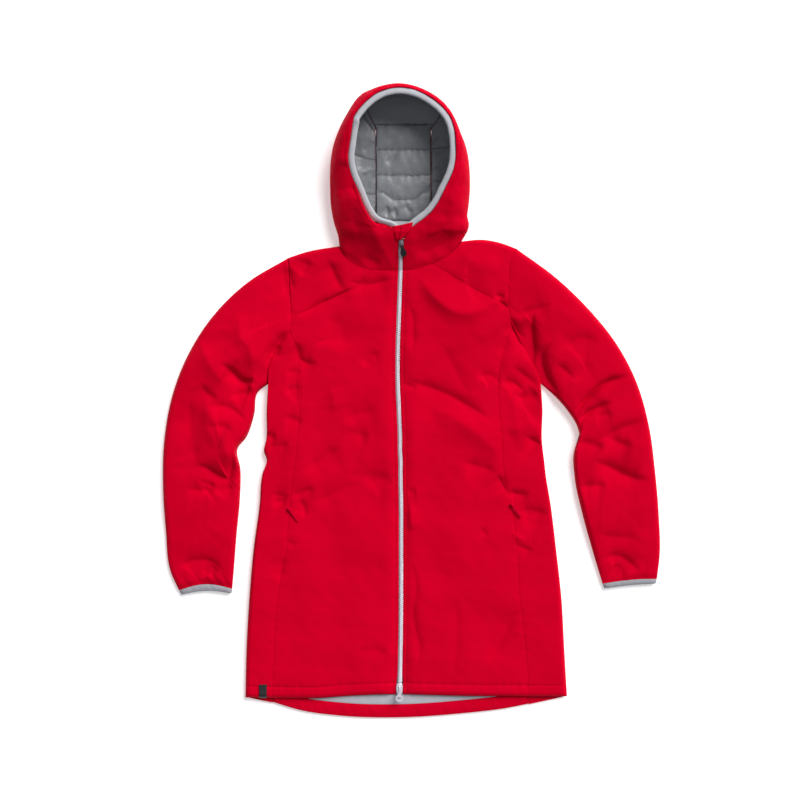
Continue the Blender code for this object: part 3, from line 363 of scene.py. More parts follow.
# Zinc under red baked lacquer: colour under a soft gloss
RED_LACQUER = CastMetal("lacquered_zinc_red", "#C8002A", "#AA0022", 0.55, specular=0.12, specular_tint="#FF3058")
# Moulded black rubber pull
BLACK_RUBBER = MouldedRubber("moulded_rubber_black", "#17171A", "#0E0E10", 0.42)
# Black satin-woven tab, ribbed by its weft
BLACK_TAB = WovenCloth(
    "satin_woven_black", "#1B1B1E", "#101012", 0.5, thread=0.9, weave_depth=0.05, crinkle=5.0,
    crinkle_depth=0.1, patch=12.0, sheen=0.1,
)
# Spun polyester sewing thread, red and grey
RED_THREAD = WovenCloth("sewing_thread_red", "#B80225", "#A4001F", 0.6, thread=0.6, crinkle=2.0, crinkle_depth=0.05)
GREY_THREAD = WovenCloth("sewing_thread_grey", "#9FA0A6", "#8C8D93", 0.6, thread=0.6, crinkle=2.0, crinkle_depth=0.05)
WHITE_TABLE = LightTable("matt_white_acrylic", "#FFFFFF", "#FCFCFC", 0.9, specular=0.1)


# ------------------------------------------------------------------ lines and grids


def steps(points: Array) -> Array:
    """Running length along a polyline of any dimension."""
    return np.concatenate([[0.0], np.cumsum(np.linalg.norm(np.diff(points, axis=0), axis=1))])


def along(points: Array, shares: Array) -> Array:
    """Places on a polyline, at shares of its length."""
    points = np.asarray(points, float)
    run = steps(points)
    return np.column_stack([np.interp(np.asarray(shares) * run[-1], run, axis) for axis in points.T])


def graded(count: int, crowd: float = 0.5) -> Array:
    """Shares from 0 to 1 that lie closer at both ends: s - crowd * sin(2 pi s) / (2 pi)."""
    share = np.linspace(0, 1, count)
    return share - crowd * np.sin(2 * np.pi * share) / (2 * np.pi)


def smooth_step(value: Array, low: float, high: float) -> Array:
    """0 below low and 1 above high, with an easy slope between them."""
    t = np.clip((value - low) / (high - low), 0, 1)
    return t * t * (3 - 2 * t)


def rolled(distance: Array, edge: Array | float, full: Array | float, roll: float) -> Array:
    """Quarter-round rise from edge height at distance 0 to full height at the roll's end."""
    inward = 1 - np.clip(distance / roll, 0, 1)
    return edge + (full - edge) * np.sqrt(1 - inward**2)


def bell(distance: Array, width: float) -> Array:
    """Bell curve: 1 at distance 0, 0.37 at the width."""
    return np.exp(-((distance / width) ** 2))


class Line:
    """Smooth curve through points of any dimension: cubic Hermite by running length."""

    def __init__(self, points: Sequence) -> None:
        """Keeps the points, the running length and the slope at each of them."""
        self.points = np.asarray(points, float)
        self.run = steps(self.points)
        self.slope = np.gradient(self.points, self.run, axis=0)

    def at(self, shares: Array) -> Array:
        """Places at shares of the whole length."""
        place = np.asarray(shares) * self.run[-1]
        spot = np.clip(np.searchsorted(self.run, place, side="right") - 1, 0, len(self.run) - 2)
        width = (self.run[spot + 1] - self.run[spot])[:, None]
        t = (place - self.run[spot])[:, None] / width
        start, end = self.points[spot], self.points[spot + 1]
        into, out = self.slope[spot] * width, self.slope[spot + 1] * width
        return (
            start * (1 + 2 * t) * (1 - t) ** 2
            + into * t * (1 - t) ** 2
            + end * t**2 * (3 - 2 * t)
            - out * t**2 * (1 - t)
        )

    def part(self, first: int, last: int, count: int) -> Array:
        """Evenly spaced places from one of the points to another."""
        low, high = self.run[first] / self.run[-1], self.run[last] / self.run[-1]
        return self.at(np.linspace(low, high, count))


def patch(left: Array, right: Array, bottom: Array, top: Array, hold: float = 1.0) -> Array:
    """Plan grid between four edges: rows run from bottom to top, columns from left to right.

    Each row is spaced as a blend of the bottom and top edges, and hold above 1 keeps
    those edges' own shape close to them.
    """
    rise = (steps(left) / steps(left)[-1] + steps(right) / steps(right)[-1])[:, None, None] / 2
    share_low = (steps(bottom) / steps(bottom)[-1])[None, :, None]
    share_high = (steps(top) / steps(top)[-1])[None, :, None]
    share = share_low * (1 - rise) + share_high * rise
    grid = left[:, None] * (1 - share) + right[:, None] * share
    low = bottom[None] - (left[0] * (1 - share_low) + right[0] * share_low)
    high = top[None] - (left[-1] * (1 - share_high) + right[-1] * share_high)
    return grid + low * (1 - rise) ** hold + high * rise**hold


def drawn_back(grid: Array, distance: float = 0.03) -> Array:
    """The grid with each of its four edges moved inwards, square to the edge."""
    shift = np.zeros_like(grid)
    for axis in (0, 1):
        rows, moved = np.moveaxis(grid, axis, 0), np.moveaxis(shift, axis, 0)
        for edge, inner in ((0, 1), (-1, -2)):
            run = np.gradient(rows[edge], axis=0)
            run /= np.linalg.norm(run, axis=-1, keepdims=True)
            step = rows[inner] - rows[edge]
            step -= (step * run).sum(axis=-1, keepdims=True) * run
            step *= distance / np.linalg.norm(step, axis=-1, keepdims=True)
            step[0], step[-1] = step[1], step[-2]
            moved[edge] += step
    return grid + shift


def edge_of(grid: Array, edge: Edge) -> Array:
    """One edge of a grid, kept as a row or column that spreads over the grid."""
    return {
        Edge.BOTTOM: grid[:1],
        Edge.TOP: grid[-1:],
        Edge.FIRST: grid[:, :1],
        Edge.LAST: grid[:, -1:],
    }[edge]


def gap_to(plan: Array, edge: Edge) -> Array:
    """Distance of each place from an edge of its own grid, in mm."""
    return np.linalg.norm(plan - edge_of(plan, edge), axis=-1)


def run_of(plan: Array, edge: Edge) -> Array:
    """Running length along an edge, spread over the grid, in mm."""
    line = steps(edge_of(plan, edge).reshape(-1, plan.shape[-1]))
    return line[None, :] if edge in (Edge.BOTTOM, Edge.TOP) else line[:, None]


def grid_normals(grid: Array) -> Array:
    """Unit normals of a grid, on the side that rows cross columns points to."""
    normal = np.cross(np.gradient(grid, axis=0), np.gradient(grid, axis=1))
    return normal / np.maximum(np.linalg.norm(normal, axis=-1, keepdims=True), 1e-9)


def ripples(run: Array, pitch: float, seed: float) -> Array:
    """Uneven ripples, about -1 to 1: three sines whose lengths don't divide each other."""
    turn = 2 * np.pi * run / pitch
    first, second, third = np.sin(turn + seed), np.sin(turn / 1.62 + 2.1 * seed), np.sin(turn / 2.71 + 0.6 * seed)
    return (first + 0.8 * second + 0.7 * third) / 2.0


@dataclass(frozen=True)
class Swell:
    """Soft unevenness of the wadding: seeded plane waves of mixed length and direction."""

    height: float
    shortest: float
    longest: float
    seed: int
    count: int = 20

    def over(self, plan: Array) -> Array:
        """Height added at each plan place, in mm."""
        draw = np.random.default_rng(self.seed)
        lengths = draw.uniform(self.shortest, self.longest, self.count)
        angles, phases = draw.uniform(0, np.pi, self.count), draw.uniform(0, 2 * np.pi, self.count)
        waves = 2 * np.pi / lengths * np.array([np.cos(angles), np.sin(angles)])
        return self.height * math.sqrt(2 / self.count) * np.sin(plan @ waves + phases).sum(axis=-1)


def seen(points: Sequence, height: float = 18.0) -> Array:
    """Pattern places of points read off the photograph, on cloth at a height.

    A pixel is 1.825 mm wide at the fronts' height, and less the higher the cloth lies.
    """
    pixel = 1.825 * (3000 - height) / 2982
    return (np.asarray(points, float) - 400) * [pixel, -pixel] + [-0.9, 538.4]


class Ridge(NamedTuple):
    """A crease: a rounded cusp along a line, with a steep shaded side and an easy lit one.

    Points are read off the photograph. The widths are the distances over which the crease
    fades. A fold is steep on the side away from the light, and a trough, which has a
    negative height, on the side towards it.
    """

    height: float
    steep: float
    easy: float
    points: tuple[tuple[float, float], ...]
    soft: float = 2.0
    level: float = 18.0

    def over(self, plan: Array) -> Array:
        """Height added: height * exp(-(sqrt(gap^2 + soft^2) - soft) / width), less at both ends."""
        total = np.zeros(plan.shape[:-1])
        path = Line(seen(self.points, self.level)).at(np.linspace(0, 1, 4 * len(self.points)))
        reach = 4.0 * max(self.steep, self.easy) + self.soft
        near = ((plan > path.min(axis=0) - reach) & (plan < path.max(axis=0) + reach)).all(axis=-1)
        if not near.any():
            return total
        place = plan[near][:, None, :]
        runs = np.diff(path, axis=0)
        lengths = np.linalg.norm(runs, axis=1)
        t = np.clip(((place - path[:-1]) * runs).sum(axis=-1) / lengths**2, 0, 1)
        away = place - (path[:-1] + t[..., None] * runs)
        gaps = np.linalg.norm(away, axis=-1)
        pick = gaps.argmin(axis=1)
        rows = np.arange(len(pick))
        gap, away = gaps[rows, pick], away[rows, pick]
        lit = math.copysign(1, self.height) * (away @ LIGHT) / np.maximum(gap, 1e-6)
        width = self.steep + (self.easy - self.steep) * np.clip(lit, 0, 1)
        share = (steps(path)[pick] + t[rows, pick] * lengths[pick]) / lengths.sum()
        fade = smooth_step(share, -0.02, 0.35) * (1 - smooth_step(share, 0.65, 1.02))
        width = width * (0.15 + 0.85 * fade)
        total[near] = self.height * fade * np.exp(-(np.hypot(gap, self.soft) - self.soft) / width)
        return total


def relief(plan: Array, marks: Iterable[Ridge | Swell]) -> Array:
    """Height that creases and swells add together at each plan place."""
    total = np.zeros(plan.shape[:-1])
    for mark in marks:
        total += mark.over(plan)
    return total


# ------------------------------------------------------------------ meshes


class Form:
    """Grids of points gathered into one mesh, with a map of where they lie on the cloth."""

    def __init__(self) -> None:
        """Starts with nothing."""
        self.points: list[Array] = []
        self.faces: list[Array] = []
        self.places: list[Array] = []
        # Painted shade of each point, 0 to 1, kept as the seam attribute
        self.seams: list[Array] = []
        self.total = 0

    def lay(self, points: Array, seam: Array | float = 0.0) -> Array:
        """Adds points.

        Args:
            points: Grid of any shape, with x, y and z in mm last.
            seam: How much painted shade the point takes, 0 to 1: shade painted along seams, quilting lines and folds.

        Returns:
            The points' numbers, in the grid's shape.
        """
        shape = points.shape[:-1]
        count = int(np.prod(shape))
        self.points.append(points.reshape(-1, 3))
        self.seams.append(np.broadcast_to(seam, shape).reshape(-1))
        self.total += count
        return np.arange(self.total - count, self.total).reshape(shape)

    def skin(self, ids: Array, cloth: Array) -> None:
        """Four-sided faces over a grid of point numbers and their places on the cloth."""
        for store, grid in ((self.faces, ids), (self.places, cloth)):
            corners = (grid[:-1, :-1], grid[1:, :-1], grid[1:, 1:], grid[:-1, 1:])
            store.append(np.stack(corners, axis=2).reshape(-1, 4, *grid.shape[2:]))

    def zip_rows(self, fine: Array, coarse: Array, cloth: Array) -> None:
        """Three-sided faces between a row of points and a row of fewer, shared out evenly."""
        last = len(fine) - 1
        match = np.round(np.arange(len(fine)) * (len(coarse) - 1) / last).astype(int)
        ends = coarse[match]
        first = np.stack([fine[:-1], fine[1:], ends[:-1]], axis=1)
        turn = np.nonzero(np.diff(match))[0]
        second = np.stack([fine[turn + 1], ends[turn + 1], ends[turn]], axis=1)
        self.faces.extend([first, second])
        near = np.stack([cloth[:-1], cloth[1:], cloth[:-1]], axis=1)
        far = np.stack([cloth[turn + 1], cloth[turn + 1], cloth[turn]], axis=1)
        self.places.extend([near, far])

    def cap(self, ring: Array) -> None:
        """Closes a ring of points with three-sided faces about its centre."""
        centre = self.lay(np.concatenate(self.points)[ring].mean(axis=0)[None])
        points = np.concatenate(self.points)
        faces = np.stack([ring, np.roll(ring, -1), np.repeat(centre, len(ring))], axis=1)
        self.faces.append(faces)
        self.places.append(points[faces][..., :2] * MM)

    def make(
        self,
        name: str,
        finish: Finish,
        slot: Slot,
        stands_for: Sequence[str] = (),
        body: str = "coat",
        closed: bool = True,
        sharp: float = 60.0,
    ) -> bpy.types.Object:
        """Makes the object and rides it on its body.

        Args:
            name: Name of the piece.
            finish: What it is made of.
            slot: The record's slot that it belongs to; not used.
            stands_for: Nodes of the solids that it replaces.
            body: Body that it moves with.
            closed: Whether its faces close, so that they can be turned outwards.
            sharp: Angle in degrees above which an edge stays sharp.

        Returns:
            The object.
        """
        points = (np.concatenate(self.points) - ORIGIN) * MM
        faces = [face for group in self.faces for face in group.tolist()]
        mesh = bpy.data.meshes.new(name)
        mesh.from_pydata(points.tolist(), [], faces)
        layer = mesh.uv_layers.new(name="cloth")
        layer.data.foreach_set("uv", np.concatenate([p.reshape(-1, 2) for p in self.places]).ravel())
        # The seam attribute carries painted shade along seams, quilting lines and folds
        seam = mesh.attributes.new("seam", "FLOAT", "POINT")
        seam.data.foreach_set("value", np.concatenate(self.seams).astype(np.float32))
        work = bmesh.new()
        work.from_mesh(mesh)
        bmesh.ops.remove_doubles(work, verts=work.verts[:], dist=2e-6)
        bmesh.ops.dissolve_degenerate(work, edges=work.edges[:], dist=1e-7)
        if closed:
            bmesh.ops.recalc_face_normals(work, faces=work.faces[:])
            if work.calc_volume(signed=True) < 0:
                bmesh.ops.reverse_faces(work, faces=work.faces[:])
        work.to_mesh(mesh)
        work.free()
        mesh.materials.append(finish.material())
        mesh.shade_smooth()
        mesh.set_sharp_from_angle(angle=math.radians(sharp))
        piece = bpy.data.objects.new(name, mesh)
        bpy.context.collection.objects.link(piece)
        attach(piece, body)
        if stands_for:
            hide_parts(*stands_for)
        log.info("%s: %d faces", name, len(mesh.polygons))
        return piece


def cloth_map(points: Array) -> Array:
    """Place of each grid point on the flat cloth, in metres: mean running lengths both ways."""
    across = np.linalg.norm(np.diff(points, axis=1), axis=-1).mean(axis=0)
    up = np.linalg.norm(np.diff(points, axis=0), axis=-1).mean(axis=1)
    u = np.concatenate([[0.0], np.cumsum(across)]) * MM
    v = np.concatenate([[0.0], np.cumsum(up)]) * MM
    return np.stack(np.broadcast_arrays(u[None, :], v[:, None]), axis=-1)


def declare_sheet(grid: Array) -> None:
    """Works out a cloth piece's largest width and length from its grid; nothing is done with them."""
    across = np.linalg.norm(np.diff(grid, axis=1), axis=-1).sum(axis=1).max()
    up = np.linalg.norm(np.diff(grid, axis=0), axis=-1).sum(axis=0).max()
    across, up = max(across, 10.5), max(up, 10.5)


def slab(form: Form, top: Array, under: Array, seam: Array | float, stride: int) -> None:
    """Closed form under a grid: a plainer grid below, every stride-th point of it."""
    cloth = cloth_map(top)
    ids = form.lay(top, seam)
    form.skin(ids, cloth)
    low = np.concatenate([top[::stride, ::stride, :2], under[::stride, ::stride, None]], axis=-1)
    base = form.lay(low)
    form.skin(base, cloth_map(low))
    for pick in (np.s_[0], np.s_[-1], np.s_[:, 0], np.s_[:, -1]):
        form.zip_rows(ids[pick], base[pick], cloth[pick])


def ring_skin(form: Form, ids: Array, points: Array) -> None:
    """Faces over a grid whose rows are closed loops."""
    wrap = np.concatenate([ids, ids[:, :1]], axis=1)
    form.skin(wrap, cloth_map(np.concatenate([points, points[:, :1]], axis=1)))


def line_at(points: Array, gap: Array, distance: float, edge: Edge) -> Array:
    """The line over a grid that keeps a distance from one of its edges."""
    if edge in (Edge.BOTTOM, Edge.TOP):
        points, gap = points.swapaxes(0, 1), gap.T
    if edge in (Edge.LAST, Edge.TOP):
        points, gap = points[:, ::-1], gap[:, ::-1]
    spot = np.clip((gap >= distance).argmax(axis=1), 1, None)
    rows = np.arange(len(points))
    low, high = gap[rows, spot - 1], gap[rows, spot]
    t = ((distance - low) / (high - low))[:, None]
    return points[rows, spot - 1] * (1 - t) + points[rows, spot] * t


def stitches(path: Array, normals: Array | None = None, pitch: float = 3.6, length: float = 2.7, thick: float = 0.6) -> tuple[Array, Array, Array]:
    """Stitches along a path: spindles of six points, their ends sunk into the cloth.

    Args:
        path: Polyline on the cloth, in mm.
        normals: The cloth's normals there, or None for straight up.
        pitch: Distance from stitch to stitch.
        length: Length of one stitch.
        thick: Thickness of the thread.

    Returns:
        Points, three-sided faces and places on the cloth.
    """
    count = max(2, int(steps(path)[-1] / pitch))
    shares = (np.arange(count) + 0.5) / count
    centre = along(path, shares)
    run = along(path, np.minimum(shares + 0.002, 1)) - along(path, np.maximum(shares - 0.002, 0))
    run /= np.linalg.norm(run, axis=1, keepdims=True)
    up = np.tile([0.0, 0.0, 1.0], (count, 1)) if normals is None else along(normals, shares)
    up = up - (up * run).sum(axis=1, keepdims=True) * run
    up /= np.linalg.norm(up, axis=1, keepdims=True)
    over = np.cross(run, up)
    half = thick / 2
    shape = [
        -run * length / 2 - up * half,
        over * half,
        up * thick * 0.75,
        -over * half,
        -up * half,
        run * length / 2 - up * half,
    ]
    points = centre[:, None] + np.stack(shape, axis=1)
    base = np.array([(0, 1, 2), (0, 2, 3), (0, 3, 4), (0, 4, 1), (5, 2, 1), (5, 3, 2), (5, 4, 3), (5, 1, 4)])
    faces = (base[None] + 6 * np.arange(count)[:, None, None]).reshape(-1, 3)
    return points, faces, points.reshape(-1, 3)[faces][..., :2] * MM


def sew(form: Form, path: Array, normals: Array | None = None, **sizes: float) -> None:
    """Adds a row of stitches to a form."""
    points, faces, places = stitches(path, normals, **sizes)
    first = form.total
    form.lay(points)
    form.faces.append(faces + first)
    form.places.append(places)


# ------------------------------------------------------------------ the coat's pattern


class Section(NamedTuple):
    """The body's lines at one height above the hem."""

    y: float
    left_edge: float
    left_seam: float
    zip_line: float
    right_seam: float
    right_edge: float


SECTIONS = [
    Section(82, -282, -231, 0, 229, 300),
    Section(173, -277, -225, 1, 218, 295),
    Section(265, -269, -209, 1, 213, 285),
    Section(347, -258, -202, 1, 202, 275),
    Section(402, -253, -196, 0, 189, 266),
    Section(429, -245, -192, 0, 187, 263),
    Section(444, -250, -190, -1, 186, 261),
    Section(465, -246, -189, -1, 185, 259),
    Section(520, -245, -184, -3, 180, 260),
]
HEM_CORNERS = {
    "left_edge": (-284, -6),
    "left_seam": (-234, -7),
    "zip_line": (-2, 0),
    "right_seam": (235, -4),
    "right_edge": (305, -4),
}
LINE_TOPS = {
    "left_edge": [(-242, 568)],
    "left_seam": [(-182, 568), (-185, 600), (-193, 639), (-202, 666)],
    "zip_line": [(-5, 568), (-5, 630), (-3, 692), (-1, 748), (0, 775)],
    "right_seam": [(179, 568), (181, 600), (190, 636), (205, 670)],
    "right_edge": [(257, 568)],
}
HEM_CURVES = {
    Side.LEFT: [(-234, -7), (-147, -7), (-107, -4), (-52, -1), (-9.3, 0)],
    Side.RIGHT: [(235, -4), (110, -3), (5.3, 0)],
}
BACK_HEM = [(-234, -16), (-183, -31), (-110, -41), (1, -44), (109, -37), (200, -26), (235, -19)]

# From the shoulder to the underarm. The yoke has the first side, up to point 3, the
# front the next, and the side panel the rest
ARMHOLES = {
    Side.LEFT: [(-205, 799), (-203, 785), (-202, 746), (-199, 690), (-202, 666), (-220, 641), (-233, 619), (-240, 600), (-242, 568)],
    Side.RIGHT: [(213, 815), (204, 800), (197, 750), (197, 710), (205, 670), (224, 641), (238, 611), (250, 588), (257, 568)],
}
YOKE_SEAMS = {
    Side.LEFT: [(-199, 690), (-129, 723), (-67, 759), (-52, 776)],
    Side.RIGHT: [(197, 710), (174, 721), (83, 772), (58, 787)],
}
SHOULDERS = {
    Side.LEFT: [(-205, 799), (-171, 810), (-112, 820)],
    Side.RIGHT: [(213, 815), (187, 825), (149, 832), (112, 829)],
}
NECKS = {
    Side.LEFT: [(-112, 820), (-107, 809), (-96, 794), (-76, 782), (-52, 776), (-28, 775), (-4, 775)],
    Side.RIGHT: [(112, 829), (106, 820), (96, 809), (78, 796), (58, 787), (30, 777.5), (4, 775)],
}
YOKE_END, FRONT_END, NECK_SPLIT = 3, 4, 4


class SleeveStation(NamedTuple):
    """Sleeve across its length: both edges and the height of its top."""

    outer_x: float
    outer_y: float
    inner_x: float
    inner_y: float
    top: float


SLEEVES = {
    Side.LEFT: [
        SleeveStation(-205, 799, -242, 568, 17),
        SleeveStation(-280, 754, -261, 553, 23),
        SleeveStation(-342, 694, -268, 511, 24),
        SleeveStation(-390, 619, -283, 469, 24),
        SleeveStation(-419, 542, -298, 450, 24),
        SleeveStation(-433, 460, -293, 411, 23),
        SleeveStation(-435, 383, -294, 356, 22),
        SleeveStation(-430, 301, -300, 292, 20),
        SleeveStation(-421, 224, -305, 228, 16),
        SleeveStation(-406, 190, -308, 193, 12),
    ],
    Side.RIGHT: [
        SleeveStation(213, 815, 257, 568, 17),
        SleeveStation(284, 763, 284, 544, 23),
        SleeveStation(348, 701, 308, 516, 24),
        SleeveStation(397, 639, 324, 489, 24),
        SleeveStation(433, 569, 328, 470, 24),
        SleeveStation(455, 491, 318, 444, 23),
        SleeveStation(466, 411, 319, 396, 22),
        SleeveStation(473, 329, 333, 330, 20),
        SleeveStation(475, 256, 351, 265, 16),
        SleeveStation(470, 211, 370, 202, 12),
    ],
}


class HoodColumn(NamedTuple):
    """Hood from rim to seam: widest point, rim, seam, and how far in the cloth lifts off."""

    out_x: float
    out_y: float
    out_z: float
    rim_x: float
    rim_y: float
    rim_z: float
    seam_x: float
    seam_y: float
    lift: float


HOOD_LEFT = [
    HoodColumn(-112, 820, 9.5, -4, 775, 19, -45, 835, 12),
    HoodColumn(-114, 838, 14, -4.5, 807, 32, -45, 845, 15),
    HoodColumn(-117, 848, 16, -8.5, 841, 45.5, -45, 852, 18),
    HoodColumn(-120, 857, 18, -14.5, 849.5, 48, -45, 860, 22),
    HoodColumn(-124, 874, 21, -44, 857, 51, -45, 875, 26),
    HoodColumn(-127, 895, 25, -62, 881, 56, -45, 894, 30),
    HoodColumn(-128, 920, 30, -76, 914, 63, -45, 918, 36),
    HoodColumn(-128, 949, 34, -90, 949, 70, -45, 944, 38),
    HoodColumn(-126, 977, 37, -94, 975, 75, -45, 968, 40),
    HoodColumn(-121, 1002, 39, -91, 998, 79, -45, 988, 40),
    HoodColumn(-113, 1024, 41, -88, 1019, 82, -45, 1006, 40),
    HoodColumn(-99, 1052, 43, -86, 1034, 84, -45, 1021, 40),
    HoodColumn(-73, 1089, 46, -83, 1047, 85, -45, 1035, 44),
]
HOOD_CROWN = [
    HoodColumn(-52, 1099, 47, -65, 1069, 86, -30.5, 1040, 50),
    HoodColumn(-30, 1106, 48, -38, 1089, 86, -16, 1045, 54),
    HoodColumn(-5, 1109, 48, -6, 1097, 86, -2, 1047, 55),
    HoodColumn(21, 1105.5, 48, 25, 1093, 86, 12.5, 1046, 53),
    HoodColumn(45, 1097, 47, 52, 1080, 86, 27, 1042, 49),
    HoodColumn(67, 1084, 46, 74, 1063, 86, 41.5, 1037, 45),
]
HOOD_RIGHT = [
    HoodColumn(85, 1068, 46, 88, 1046, 85, 56, 1035, 42),
    HoodColumn(98, 1047, 45, 94, 1033, 84, 56, 1020, 40),
    HoodColumn(109, 1021, 43, 98, 1015, 82, 56, 1004, 40),
    HoodColumn(119, 995, 41, 99.5, 992, 80, 56, 984, 40),
    HoodColumn(124, 970, 38, 98.5, 967, 76, 56, 963, 38),
    HoodColumn(126, 945, 35, 93, 945, 72, 56, 941, 38),
    HoodColumn(126, 916, 31, 79, 916, 65, 56, 915, 36),
    HoodColumn(124, 891, 27, 69, 896, 60, 56, 892, 30),
    HoodColumn(122, 874, 23, 53, 874, 54, 56, 875, 26),
    HoodColumn(125, 857, 19, 21, 850, 48, 56, 861, 22),
    HoodColumn(123, 848, 17, 10, 839, 45, 56, 853, 18),
    HoodColumn(120, 842, 14, 5, 807, 32, 56, 846, 15),
    HoodColumn(112, 829, 9.5, 4, 775, 19, 56, 835, 12),
]

